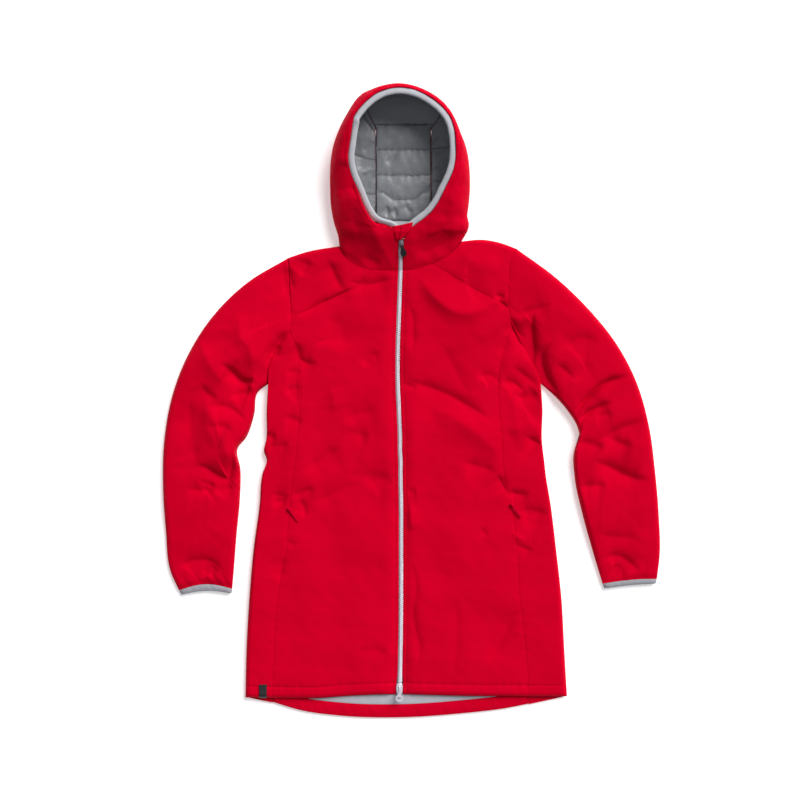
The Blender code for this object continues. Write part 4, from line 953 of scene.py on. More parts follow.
# Main creases of the body and sleeves, right half first, each from the top down
CREASES = [
    # Under the right collar: the curved trough, and the yoke seam with its slope
    Ridge(10.5, 12, 40, ((419, 275), (430, 291), (441, 302), (452, 310), (464, 313), (477, 311), (489, 304), (498, 297)), 7),
    Ridge(-3.2, 11, 48, ((441, 268), (451, 276), (462, 284), (474, 290), (486, 295), (498, 300)), 1.5),
    Ridge(5.1, 22, 44, ((458, 250), (475, 261), (500, 271)), 9),
    Ridge(-4.3, 5, 15, ((494, 297), (500, 296), (505, 298)), 1.5),
    Ridge(-4.3, 4, 15, ((500, 301), (504, 305), (508, 309)), 1.5),
    # Beside the zip
    Ridge(-3.4, 5, 13, ((408, 303), (412, 313), (413, 328), (413, 342), (411, 354)), 2.5),
    Ridge(-2.5, 4, 11, ((407, 492), (412, 492), (417, 492))),
    Ridge(3.4, 5, 10, ((410, 500), (411, 516), (412, 533)), 3),
    Ridge(-3.8, 6, 18, ((409, 558), (414, 572), (416, 592), (413, 612), (415, 628), (419, 644), (418, 672)), 3),
    # Chest, and the long diagonal from the zip
    Ridge(-5.1, 22, 57, ((442, 343), (450, 359), (457, 374), (464, 387), (472, 394))),
    Ridge(-8.7, 10, 31, ((402, 378), (418, 384), (434, 389), (450, 396), (466, 405), (480, 413), (492, 421)), 2.5),
    Ridge(-3.4, 4, 13, ((403, 383), (410, 386), (418, 389)), 1.5),
    Ridge(7.5, 26, 36, ((430, 408), (452, 417), (474, 431), (490, 445), (503, 461)), 5),
    # Princess seam and under the armhole
    Ridge(-4.3, 9, 35, ((510, 333), (507, 343), (503, 356), (500, 369), (499, 384)), 1.5),
    Ridge(-5, 8, 24, ((477, 381), (482, 376), (488, 375), (495, 378), (500, 385))),
    Ridge(-6.9, 8, 20, ((501, 386), (510, 382), (518, 386), (524, 392))),
    Ridge(-8.7, 7, 20, ((514, 395), (522, 397), (530, 396), (540, 390))),
    Ridge(-6.9, 11, 31, ((512, 366), (520, 372), (529, 379), (540, 386))),
    # Waist and pocket
    Ridge(5.1, 14, 28, ((506, 430), (520, 428), (533, 424), (541, 418)), 5),
    Ridge(-6.9, 6, 20, ((526, 437), (534, 441), (542, 446)), 1.5),
    Ridge(-5.1, 8, 24, ((462, 463), (474, 465), (487, 469), (497, 474))),
    Ridge(-4.3, 5, 20, ((497, 474), (502, 484), (507, 494)), 1.5),
    Ridge(-5.1, 5, 20, ((505, 495), (514, 493), (521, 495), (529, 490)), 1.5),
    Ridge(-4.3, 7, 29, ((517, 513), (531, 511), (548, 514)), 3),
    Ridge(2.5, 4, 8, ((512, 532), (518, 538), (526, 541)), 1.5),
    Ridge(-3.4, 4, 11, ((516, 544), (525, 549), (534, 551)), 1.5),
    Ridge(-2.5, 4, 11, ((480, 527), (484, 532), (488, 537)), 1.5),
    # Skirt
    Ridge(-3.4, 8, 26, ((521, 607), (510, 621), (502, 640), (494, 655), (487, 668)), 4),
    Ridge(-2.1, 6, 13, ((456, 598), (457, 640), (452, 678)), 4),
    # Left shoulder, collar and yoke seam
    Ridge(-4.2, 7, 20, ((283, 261), (284, 275), (286, 288), (290, 299))),
    Ridge(-3.2, 5, 15, ((290, 266), (291, 280), (295, 292)), 1.5),
    Ridge(-4.3, 7, 29, ((309, 258), (305, 268), (300, 277)), 3),
    Ridge(-7.8, 9, 22, ((328, 259), (333, 272), (338, 282), (344, 291))),
    Ridge(-6.9, 10, 24, ((348, 281), (360, 284), (372, 284), (384, 281), (394, 278))),
    Ridge(-5.1, 4.5, 18, ((294, 316), (305, 312), (318, 304), (331, 299), (344, 293), (361, 286)), 1.5),
    # Left chest
    Ridge(-5.1, 22, 62, ((322, 317), (337, 324), (343, 338), (343, 353)), 6),
    Ridge(-3.4, 6, 20, ((363, 368), (368, 360), (373, 355), (381, 353))),
    Ridge(3.2, 11, 26, ((330, 386), (333, 398), (335, 413))),
    Ridge(-4.3, 10, 33, ((341, 421), (352, 416), (366, 413), (380, 409)), 4),
    Ridge(-4.3, 9, 40, ((346, 429), (357, 435), (370, 438)), 4),
    # Left armhole and side
    Ridge(-8.7, 6, 20, ((289, 329), (281, 338), (275, 347), (270, 357), (267, 368)), 1.5),
    Ridge(-4.3, 4, 15, ((281, 345), (277, 352), (274, 359)), 1.5),
    Ridge(-6.8, 9, 24, ((294, 340), (298, 350), (300, 359), (306, 363), (319, 364)), 1.5),
    Ridge(-3.6, 6, 24, ((286, 371), (293, 372), (301, 372))),
    Ridge(-3.8, 7, 24, ((284, 393), (292, 389), (302, 388))),
    Ridge(-4, 7, 24, ((284, 417), (293, 419), (303, 426))),
    Ridge(-5.2, 5, 20, ((264, 432), (270, 436), (277, 437)), 1.5),
    Ridge(-3.4, 6, 13, ((268, 447), (280, 446), (290, 446)), 3),
    # Left waist and pocket
    Ridge(-4.3, 9, 40, ((301, 471), (315, 465), (325, 458), (334, 452), (345, 448)), 4),
    Ridge(-3.4, 10, 31, ((345, 474), (370, 477), (396, 478)), 5),
    Ridge(-4.2, 13, 31, ((310, 501), (325, 498), (337, 492), (350, 487), (366, 486)), 3),
    Ridge(-3.2, 12, 29, ((364, 488), (373, 482), (384, 481), (394, 488)), 3),
    Ridge(-3.6, 5, 20, ((270, 494), (281, 496), (290, 499)), 1.5),
    Ridge(-3.6, 5, 20, ((290, 498), (298, 494), (306, 491), (317, 490)), 1.5),
    Ridge(-3.4, 4, 9, ((272, 502), (279, 502), (287, 500)), 1.5),
    Ridge(-4.3, 4, 24, ((295, 500), (303, 505), (305, 513), (302, 520))),
    Ridge(-2.5, 5, 11, ((285, 540), (291, 543), (296, 548))),
    Ridge(-2.5, 6, 13, ((282, 556), (281, 570), (278, 584)), 3),
    Ridge(-2.5, 7, 15, ((355, 653), (372, 650), (390, 655)), 4),
    # Left sleeve
    Ridge(8.5, 22, 42, ((236, 312), (240, 325), (241, 338), (247, 344), (252, 353), (253, 365), (250, 377)), 2.5),
    Ridge(-13, 6, 18, ((221, 364), (229, 369), (236, 376), (244, 382), (252, 382), (257, 386))),
    Ridge(10, 34, 45, ((199, 338), (206, 356), (213, 368), (222, 379), (237, 387))),
    Ridge(-4.8, 7, 29, ((202, 383), (205, 391), (211, 396), (219, 399))),
    Ridge(-6.9, 7, 24, ((229, 397), (240, 394), (250, 392), (258, 387))),
    Ridge(-7.8, 9, 29, ((205, 409), (216, 406), (227, 407), (236, 412), (246, 421))),
    Ridge(-5.1, 7, 24, ((206, 428), (216, 426), (225, 427), (234, 431))),
    Ridge(12, 40, 60, ((204, 398), (212, 418), (220, 434), (226, 447), (229, 462), (229, 478)), 4),
    Ridge(-6.5, 30, 45, ((190, 395), (190, 420), (192, 440), (196, 462), (203, 478)), 5),
    Ridge(-8.8, 6.3, 26, ((194, 465), (207, 468), (214, 473), (221, 477), (228, 479), (231, 470), (233, 457), (234, 446)), 1.5),
    Ridge(-5.1, 6, 29, ((213, 481), (210, 488), (203, 494)), 2.5),
    Ridge(-3.4, 5, 11, ((214, 494), (224, 489), (236, 488)), 2.5),
    Ridge(-3.4, 6, 13, ((186, 488), (200, 491), (212, 490)), 3),
    Ridge(-5.1, 7, 33, ((178, 573), (184, 565), (194, 561), (206, 561), (216, 565), (224, 573)), 3),
    Ridge(-4.3, 6, 24, ((203, 577), (210, 570), (219, 573))),
    # Right sleeve
    Ridge(-13.6, 6, 21, ((534, 312), (532, 328), (533, 342), (533, 355), (534, 366)), 1.5),
    Ridge(-8.7, 11, 26, ((509, 316), (516, 330), (522, 342), (529, 350))),
    Ridge(-5.1, 6, 24, ((521, 323), (524, 314), (530, 311), (541, 308), (551, 303)), 2.5),
    Ridge(-10.2, 8.4, 27, ((553, 342), (546, 349), (542, 360), (545, 373), (552, 386), (561, 399)), 2.5),
    Ridge(-6, 9, 29, ((555, 363), (564, 370), (575, 381)), 2.5),
    Ridge(-3, 8, 30, ((571, 381), (583, 371), (594, 363)), 4),
    Ridge(-4.3, 9, 44, ((560, 352), (570, 343), (584, 339), (600, 341)), 4),
    Ridge(-11, 3.6, 9, ((574, 417), (583, 403), (592, 394), (600, 386), (609, 381), (619, 378), (634, 374)), 1.2),
    Ridge(-9, 4.5, 11, ((578, 425), (588, 413), (597, 408), (613, 401)), 1.5),
    Ridge(-3.6, 5, 14, ((594, 414), (603, 415), (613, 413)), 2.5),
    Ridge(-6, 8, 33, ((574, 441), (586, 443), (596, 446), (606, 451)), 3),
    Ridge(-6, 6, 22, ((598, 440), (611, 434), (622, 428), (632, 425), (646, 420)), 3),
    Ridge(-6.9, 8, 33, ((604, 437), (615, 441), (624, 445), (634, 447)), 3),
    Ridge(-10.4, 12, 29, ((592, 461), (604, 465), (615, 470), (625, 475), (636, 479), (650, 480)), 2.5),
    Ridge(-6, 7, 29, ((578, 487), (592, 486), (608, 486)), 3),
    Ridge(-3.2, 7, 18, ((597, 534), (612, 537), (626, 538), (642, 540)), 4),
    Ridge(-5, 7, 22, ((602, 563), (611, 557), (621, 557), (630, 563), (641, 573)), 3),
    Ridge(-5.1, 6, 24, ((612, 566), (619, 571), (625, 577))),
]
HOOD_CREASES = [
    Ridge(-10, 13, 16, ((338, 160), (343, 173), (350, 185), (360, 199)), 2.0, 60.0),
    Ridge(11.0, 30, 20, ((346, 168), (352, 184), (360, 200), (368, 218), (377, 236), (386, 254), (394, 269)), 4.0, 35.0),
    Ridge(-4.6, 7, 20, ((361, 256), (370, 260), (381, 265)), 2.0, 25.0),
    Ridge(-6.5, 9, 30, ((415, 257), (424, 250), (433, 243), (443, 238), (456, 232)), 2.5, 30.0),
    Ridge(-3.8, 6, 18, ((411, 268), (422, 266), (432, 263), (443, 258)), 2.0, 20.0),
    Ridge(-2.8, 8, 15, ((438, 222), (447, 211), (455, 201)), 4.0, 45.0),
    Ridge(-3.4, 12, 30, ((331, 175), (333, 200), (338, 222)), 5.0, 35.0),
    Ridge(-3.0, 6, 12, ((341, 247), (347, 256), (355, 262), (366, 267)), 1.5, 20.0),
]
# Wrinkles of the lining inside the hood, where its sides meet the middle strip
LINING_CREASES = [
    Ridge(-5.4, 5, 9, ((376, 158), (366, 162), (357, 169)), 1.5, 15.0),
    Ridge(-4.7, 4, 8, ((374, 171), (366, 176), (362, 172)), 1.5, 15.0),
    Ridge(-5, 5, 9, ((377, 141), (368, 149), (362, 148)), 1.5, 15.0),
    Ridge(-5, 4, 9, ((363, 178), (365, 185), (364, 192)), 1.5, 15.0),
    Ridge(-5.4, 5, 9, ((432, 138), (440, 143), (449, 149)), 1.5, 15.0),
    Ridge(-4.7, 4, 9, ((433, 166), (439, 171), (447, 176)), 1.5, 15.0),
    Ridge(-4.3, 4, 9, ((434, 180), (437, 183), (440, 181)), 1.5, 15.0),
    Ridge(-2.9, 3, 8, ((383, 162), (390, 160), (398, 152)), 1.5, 8.0),
    Ridge(-3.6, 3, 8, ((385, 205), (388, 212), (387, 219)), 1.5, 8.0),
    Ridge(-3.6, 3, 8, ((392, 207), (396, 213), (394, 219)), 1.5, 8.0),
    Ridge(-3.2, 3, 7, ((405, 203), (408, 209), (414, 214)), 1.5, 8.0),
]

BACK_TOP = 6.2
FRONT_UNDER = BACK_TOP + GAP
BODY_TOP = 18.0
HEM_TOP = 10.5
EDGE_ROLL = 10.0
UNDER_ROLL = 8.0
FACING_TOP = 8.2
COLLAR_FOOT, COLLAR_RISE, COLLAR_START = 19.0, 0.41, 775.0


BODY_SWELL, BODY_CRINKLE = Swell(0.8, 60, 190, 7), Swell(0.1, 18, 42, 11)
SEAM_DEPTH, SHOULDER_DEPTH = 0.4, 0.4


def cloth_top(plan: Array) -> Array:
    """Height of the body's upper side at plan places: its level, creases and swells."""
    return BODY_TOP + relief(plan, [*CREASES, BODY_SWELL, BODY_CRINKLE])


def placket(gap: Array, y: Array | float) -> Array:
    """How far the cloth dips towards the zip's slot, less so at the collar."""
    depth = 3.7 - 2.4 * smooth_step(np.asarray(y, float), 690.0, 770.0)
    return depth * bell(gap, 13.0) + 0.8 * bell(gap, 1.3)


def body_line(column: str) -> Line:
    """A line that runs up the body: hem corner, sections, then its own top points."""
    middle = [(getattr(section, column), section.y) for section in SECTIONS]
    return Line([HEM_CORNERS[column], *middle, *LINE_TOPS[column]])


def front_under(y: Array) -> Array:
    """Underside of the fronts: it steps up over the facing and lining at the back hem."""
    return FRONT_UNDER + (FACING_TOP - BACK_TOP) * (1 - smooth_step(y, 30.0, 48.0))


def collar_line(y: Array | float) -> Array:
    """Height of the collar's front edge, which climbs from the neck seam to the chin."""
    return COLLAR_FOOT + COLLAR_RISE * np.clip(np.asarray(y, float) - COLLAR_START, 0, None)


# ------------------------------------------------------------------ body


@dataclass
class Body:
    """Fronts, yokes, side panels and back, with the sewing on them."""

    rows: int = 301
    front_columns: int = 91
    yoke_rows: int = 55
    yoke_columns: int = 61
    stride: int = 6
    seam_width: float = 1.7
    shoulder_width: float = 9.0
    hem_stitch: float = 21.0
    zip_stitch: float = 6.5
    slot_half: float = 4.0
    slot_flare: float = 2.0
    flare: tuple[float, float] = (20.0, 42.0)
    sewing: Form = field(default_factory=Form)

    def build(self) -> None:
        """Builds every piece of the body."""
        for side in Side:
            self.front(side)
            self.yoke(side)
            self.flank(side)
        self.back()
        self.hem_inside()
        self.sewing.make("body_topstitching", RED_THREAD, Slot.SHELL)

    def seam_dip(self, gap: Array, run: Array, seed: float) -> Array:
        """How far the cloth dips to a seam, with puckers square to it that die away."""
        dip = SEAM_DEPTH * bell(gap, self.seam_width) + SHOULDER_DEPTH * bell(gap, self.shoulder_width)
        return dip - 0.25 * ripples(run, 13.0, seed) * bell(gap, 9.0) * (1 - bell(gap, 1.6))

    def zip_side(self, side: Side) -> Array:
        """Edge of a front beside the zip, wider round the bottom slider."""
        line = body_line("zip_line").at(np.linspace(0, 1, 400))
        line[:, 0] += side.sign * (self.slot_half + self.slot_flare * (1 - smooth_step(line[:, 1], *self.flare)))
        return line

    def front(self, side: Side) -> None:
        """Centre front: from the princess seam to the zip, and from the hem to yoke and neck."""
        armhole, neck = Line(ARMHOLES[side]), Line(NECKS[side])
        seam = np.vstack([body_line(side.value + "_seam").at(np.linspace(0, 1, 400)), armhole.part(FRONT_END, YOKE_END, 20)[1:]])
        top = np.vstack([Line(YOKE_SEAMS[side]).at(np.linspace(0, 1, 120)), neck.part(NECK_SPLIT, 6, 40)[1:]])
        share = graded(self.front_columns, 0.6)
        up = graded(self.rows, 0.45)
        left, right = along(seam, up), along(self.zip_side(side), up)
        hem, top = Line(HEM_CURVES[side]).at(share), along(top, share)
        left[0], right[0], left[-1], right[-1] = hem[0], hem[-1], top[0], top[-1]
        plan = drawn_back(patch(left, right, hem, top))
        seam_gap, zip_gap = gap_to(plan, Edge.FIRST), gap_to(plan, Edge.LAST)
        hem_gap, top_gap = gap_to(plan, Edge.BOTTOM), gap_to(plan, Edge.TOP)
        height = cloth_top(plan)
        height -= self.seam_dip(seam_gap, run_of(plan, Edge.FIRST), 1.0 + side.sign)
        height -= self.seam_dip(top_gap, run_of(plan, Edge.TOP), 3.0 + side.sign)
        height -= placket(zip_gap, plan[..., 1])
        height -= 0.5 * bell(zip_gap - self.zip_stitch, 1.6)
        height += 0.3 * ripples(run_of(plan, Edge.LAST), 15.0, 5.0 * side.sign) * bell(zip_gap - self.zip_stitch, 6.0)
        along_hem = run_of(plan, Edge.BOTTOM)
        height -= 0.9 * bell(hem_gap - self.hem_stitch, 1.9) + 0.5 * bell(hem_gap - self.hem_stitch, 7.0)
        height += 0.4 * ripples(along_hem, 14.0, 2.0) * bell(hem_gap - self.hem_stitch, 10.0)
        height = rolled(hem_gap, HEM_TOP - 0.6, height, EDGE_ROLL)
        # Painted shade along the princess seam and the yoke and neck seams
        painted_shade = np.maximum(bell(seam_gap, 1.2), bell(top_gap, 1.2))
        grid = np.dstack([plan, height])
        form = Form()
        slab(form, grid, front_under(plan[..., 1]), painted_shade, self.stride)
        name = "front_" + side.value
        piece = form.make("centre_" + name, RED_SHELL, Slot.SHELL, [name])
        declare_sheet(grid)
        sew(self.sewing, line_at(grid, zip_gap, self.zip_stitch, Edge.LAST)[8:])
        sew(self.sewing, line_at(grid, hem_gap, self.hem_stitch, Edge.BOTTOM)[1:-1])

    def yoke(self, side: Side) -> None:
        """Front yoke: from the shoulder's edge down to the yoke seam."""
        up, share = graded(self.yoke_rows, 0.5), graded(self.yoke_columns, 0.5)
        armhole = along(Line(ARMHOLES[side]).part(0, YOKE_END, 120), up)
        neck = along(Line(NECKS[side]).part(0, NECK_SPLIT, 120), up)
        shoulder, seam = Line(SHOULDERS[side]).at(share), Line(YOKE_SEAMS[side]).at(share)
        plan = drawn_back(patch(armhole, neck, shoulder, seam))
        height = cloth_top(plan)
        # Painted shade along the yoke's sewn edges
        painted_shade = np.zeros(height.shape)
        for edge, seed in ((Edge.TOP, 3.0 + side.sign), (Edge.FIRST, 6.0 + side.sign), (Edge.LAST, 8.0)):
            gap = gap_to(plan, edge)
            height -= self.seam_dip(gap, run_of(plan, edge), seed)
            painted_shade = np.maximum(painted_shade, bell(gap, 1.2))
        height = rolled(gap_to(plan, Edge.BOTTOM), BACK_TOP + 2.0, height, EDGE_ROLL)
        grid = np.dstack([plan, height])
        form = Form()
        slab(form, grid, front_under(plan[..., 1]), painted_shade, self.stride)
        name = "yoke_" + side.value
        piece = form.make("shoulder_" + name, RED_SHELL, Slot.SHELL, [name])
        declare_sheet(grid)

    def flank(self, side: Side) -> None:
        """Side panel: a C in section, from the princess seam round the side to the back seam."""
        up = graded(self.rows, 0.4)
        seam = along(body_line(side.value + "_seam").at(np.linspace(0, 1, 400)), up)
        edge = along(body_line(side.value + "_edge").at(np.linspace(0, 1, 400)), up)
        width = float(np.linalg.norm(edge[0] - seam[0]))
        turn = np.radians(np.linspace(90, 0, 11))
        near = width - EDGE_ROLL * (1 - np.cos(turn))
        flat = (width - EDGE_ROLL) * (1 - (1 - np.linspace(0, 1, 23)) ** 0.8)
        share = np.concatenate([flat[:-1], near]) / width
        hem = along([seam[0], edge[0]], share)
        top = along(Line(ARMHOLES[side]).part(FRONT_END, 8, 160), share)
        plan = drawn_back(patch(seam, edge, hem, top, hold=2.0))
        gap, seam_gap = gap_to(plan, Edge.LAST), gap_to(plan, Edge.FIRST)
        hem_gap, top_gap = gap_to(plan, Edge.BOTTOM), gap_to(plan, Edge.TOP)
        height = cloth_top(plan)
        height -= self.seam_dip(seam_gap, run_of(plan, Edge.FIRST), 1.0 + side.sign)
        height -= self.seam_dip(top_gap, run_of(plan, Edge.TOP), 9.0 + side.sign)
        height -= 0.9 * bell(hem_gap - self.hem_stitch, 1.9)
        height = rolled(gap, UNDER_ROLL, height, EDGE_ROLL)
        height = rolled(hem_gap, np.minimum(height, HEM_TOP - 0.6), height, EDGE_ROLL)
        # Painted shade along the princess seam and the armhole
        painted_shade = np.maximum(bell(seam_gap, 1.2), bell(top_gap, 1.2))
        over = np.dstack([plan, height])

        # The under layer comes back beneath, and its hem drops to the back's
        corner = BACK_HEM[0] if side is Side.LEFT else BACK_HEM[-1]
        back = np.concatenate([UNDER_ROLL * (1 - np.cos(turn[::-1]))[1:], np.linspace(UNDER_ROLL, width, 14)[1:]])
        shares = 1 - back / width
        spots = np.clip(np.searchsorted(share, shares) - 1, 0, len(share) - 2)
        t = ((shares - share[spots]) / (share[spots + 1] - share[spots]))[None, :, None]
        under_plan = plan[:, spots] * (1 - t) + plan[:, spots + 1] * t
        drop = (1 - smooth_step(up, 0, 0.06)) * (corner[1] - seam[0, 1])
        under_plan[..., 1] += (back / width)[None, :] * drop[:, None]
        under_gap = np.linalg.norm(under_plan - plan[:, -1:], axis=-1)
        low = UNDER_ROLL - rolled(under_gap, 0, UNDER_ROLL, UNDER_ROLL)
        outer = np.concatenate([over, np.dstack([under_plan, low])], axis=1)

        # Plain inside: a flat slit between the two layers, from the seam to the roll and back
        inset = np.array([0, 8, 16, 20])
        high_plan, low_plan = plan[:, inset], under_plan[:, [12, 16, -1]]
        slit_top = np.dstack([high_plan, front_under(high_plan[..., 1])])
        middle = np.dstack([plan[:, inset[-1:]], np.full((self.rows, 1), BACK_TOP)])
        slit_low = np.dstack([low_plan, np.full(low_plan.shape[:2], BACK_TOP)])
        inner = np.concatenate([slit_top, middle, slit_low], axis=1)
        form = Form()
        cloth = cloth_map(outer)
        shade = np.concatenate([painted_shade, np.zeros(low.shape)], axis=1)
        out, into = form.lay(outer, shade), form.lay(inner)
        form.skin(out, cloth)
        form.skin(into, cloth_map(inner))
        for column in (0, -1):
            form.skin(np.stack([out[:, column], into[:, column]], axis=1), np.stack([cloth[:, column]] * 2, axis=1))
        for row in (0, -1):
            form.zip_rows(out[row], into[row], cloth[row])
        name = "side_" + side.value
        piece = form.make(name + "_panel", RED_SHELL, Slot.SHELL, [name])
        declare_sheet(outer)
        sew(self.sewing, line_at(over, hem_gap, self.hem_stitch, Edge.BOTTOM)[1:-8])

    def back(self) -> None:
        """Back, flat on the ground, with a rounded dropped hem and shoulders' edges."""
        rows, columns = 141, 61
        up, share = graded(rows, 0.9), graded(columns, 0.3)
        hem = Line(BACK_HEM).at(share)
        lines = {}
        for side, end in ((Side.LEFT, BACK_HEM[0]), (Side.RIGHT, BACK_HEM[-1])):
            seam = body_line(side.value + "_seam").at(np.linspace(0, 1, 400))
            drop = (1 - smooth_step(np.linspace(0, 1, 400), 0, 0.06)) * (end[1] - seam[0, 1])
            seam[:, 1] += drop
            armhole = Line(ARMHOLES[side]).part(FRONT_END, 0, 120)
            lines[side] = along(np.vstack([seam, armhole[1:]]), up)
        neck = [(-100, 820), (-45, 834), (56, 834), (100, 829)]
        top = np.vstack([SHOULDERS[Side.LEFT], neck, SHOULDERS[Side.RIGHT][::-1]])
        plan = drawn_back(patch(lines[Side.LEFT], lines[Side.RIGHT], hem, along(top, share)), GAP)
        hem_gap = gap_to(plan, Edge.BOTTOM)
        top_z = rolled(hem_gap, 2.2, BACK_TOP, 5.0) + 0.0 * hem_gap
        low_z = 2.2 - rolled(hem_gap, 0.0, 2.2, 3.5)
        high, low = np.dstack([plan, top_z]), np.dstack([plan, low_z])
        form = Form()
        cloth = cloth_map(high)
        upper, lower = form.lay(high), form.lay(low)
        form.skin(upper, cloth)
        form.skin(lower, cloth)
        for pick in (np.s_[0], np.s_[-1], np.s_[:, 0], np.s_[:, -1]):
            form.skin(np.stack([upper[pick], lower[pick]], axis=1), np.stack([cloth[pick]] * 2, axis=1))
        piece = form.make("back_with_tail", RED_SHELL, Slot.SHELL, ["back_panel"])
        declare_sheet(high)

    def hem_inside(self) -> None:
        """Red facing along the back hem and the strip of grey lining that shows above it."""
        columns = 161
        hem = Line(BACK_HEM).at(np.linspace(0.008, 0.992, columns))
        base = BACK_TOP + GAP

        def strip(low: Array, high: Array, count: int, crown: float, seed: float) -> tuple[Array, Array]:
            """Grid of a strip between two lines, rounded at both and puckered along it."""
            t = graded(count, 0.5)[:, None, None]
            plan = low[None] * (1 - t) + high[None] * t
            run = steps(low)[None, :]
            t = t[..., 0]
            ease = np.sqrt(np.clip(np.sin(np.pi * t), 0, 1))
            pucker = 0.45 * ripples(run + 9 * t, 17.0, seed) * np.sin(np.pi * t)
            return plan, base + 0.25 + crown * ease + np.maximum(pucker * ease, -0.2)

        inner = hem + [0, 25.0]
        reach = np.column_stack([inner[:, 0], np.full(columns, 28.0)])
        for name, node, low, high, finish, slot, seed in (
            ("back_hem_turning", "back_hem_facing", hem + [0, 1.2], inner, RED_SHELL, Slot.SHELL, 1.0),
            ("hem_lining_strip", "back_hem_lining", inner + [0, GAP], reach + [0, GAP], LIT_LINING, Slot.LINING, 4.0),
        ):
            keep = np.s_[:] if slot is Slot.SHELL else (high[:, 1] - low[:, 1] > 2.0)
            plan, height = strip(low[keep], high[keep], 13, FACING_TOP - base - 0.25, seed)
            grid = np.dstack([plan, height])
            form = Form()
            # Painted shade along each strip's upper edge, where it meets the next layer
            slab(form, grid, np.full(height.shape, base), bell(gap_to(plan, Edge.TOP), 1.2), 4)
            piece = form.make(name, finish, slot, [node])
            declare_sheet(grid)
            if slot is Slot.SHELL:
                sew(self.sewing, line_at(grid, gap_to(plan, Edge.TOP), 3.0, Edge.TOP)[2:-2])


# ------------------------------------------------------------------ sleeves


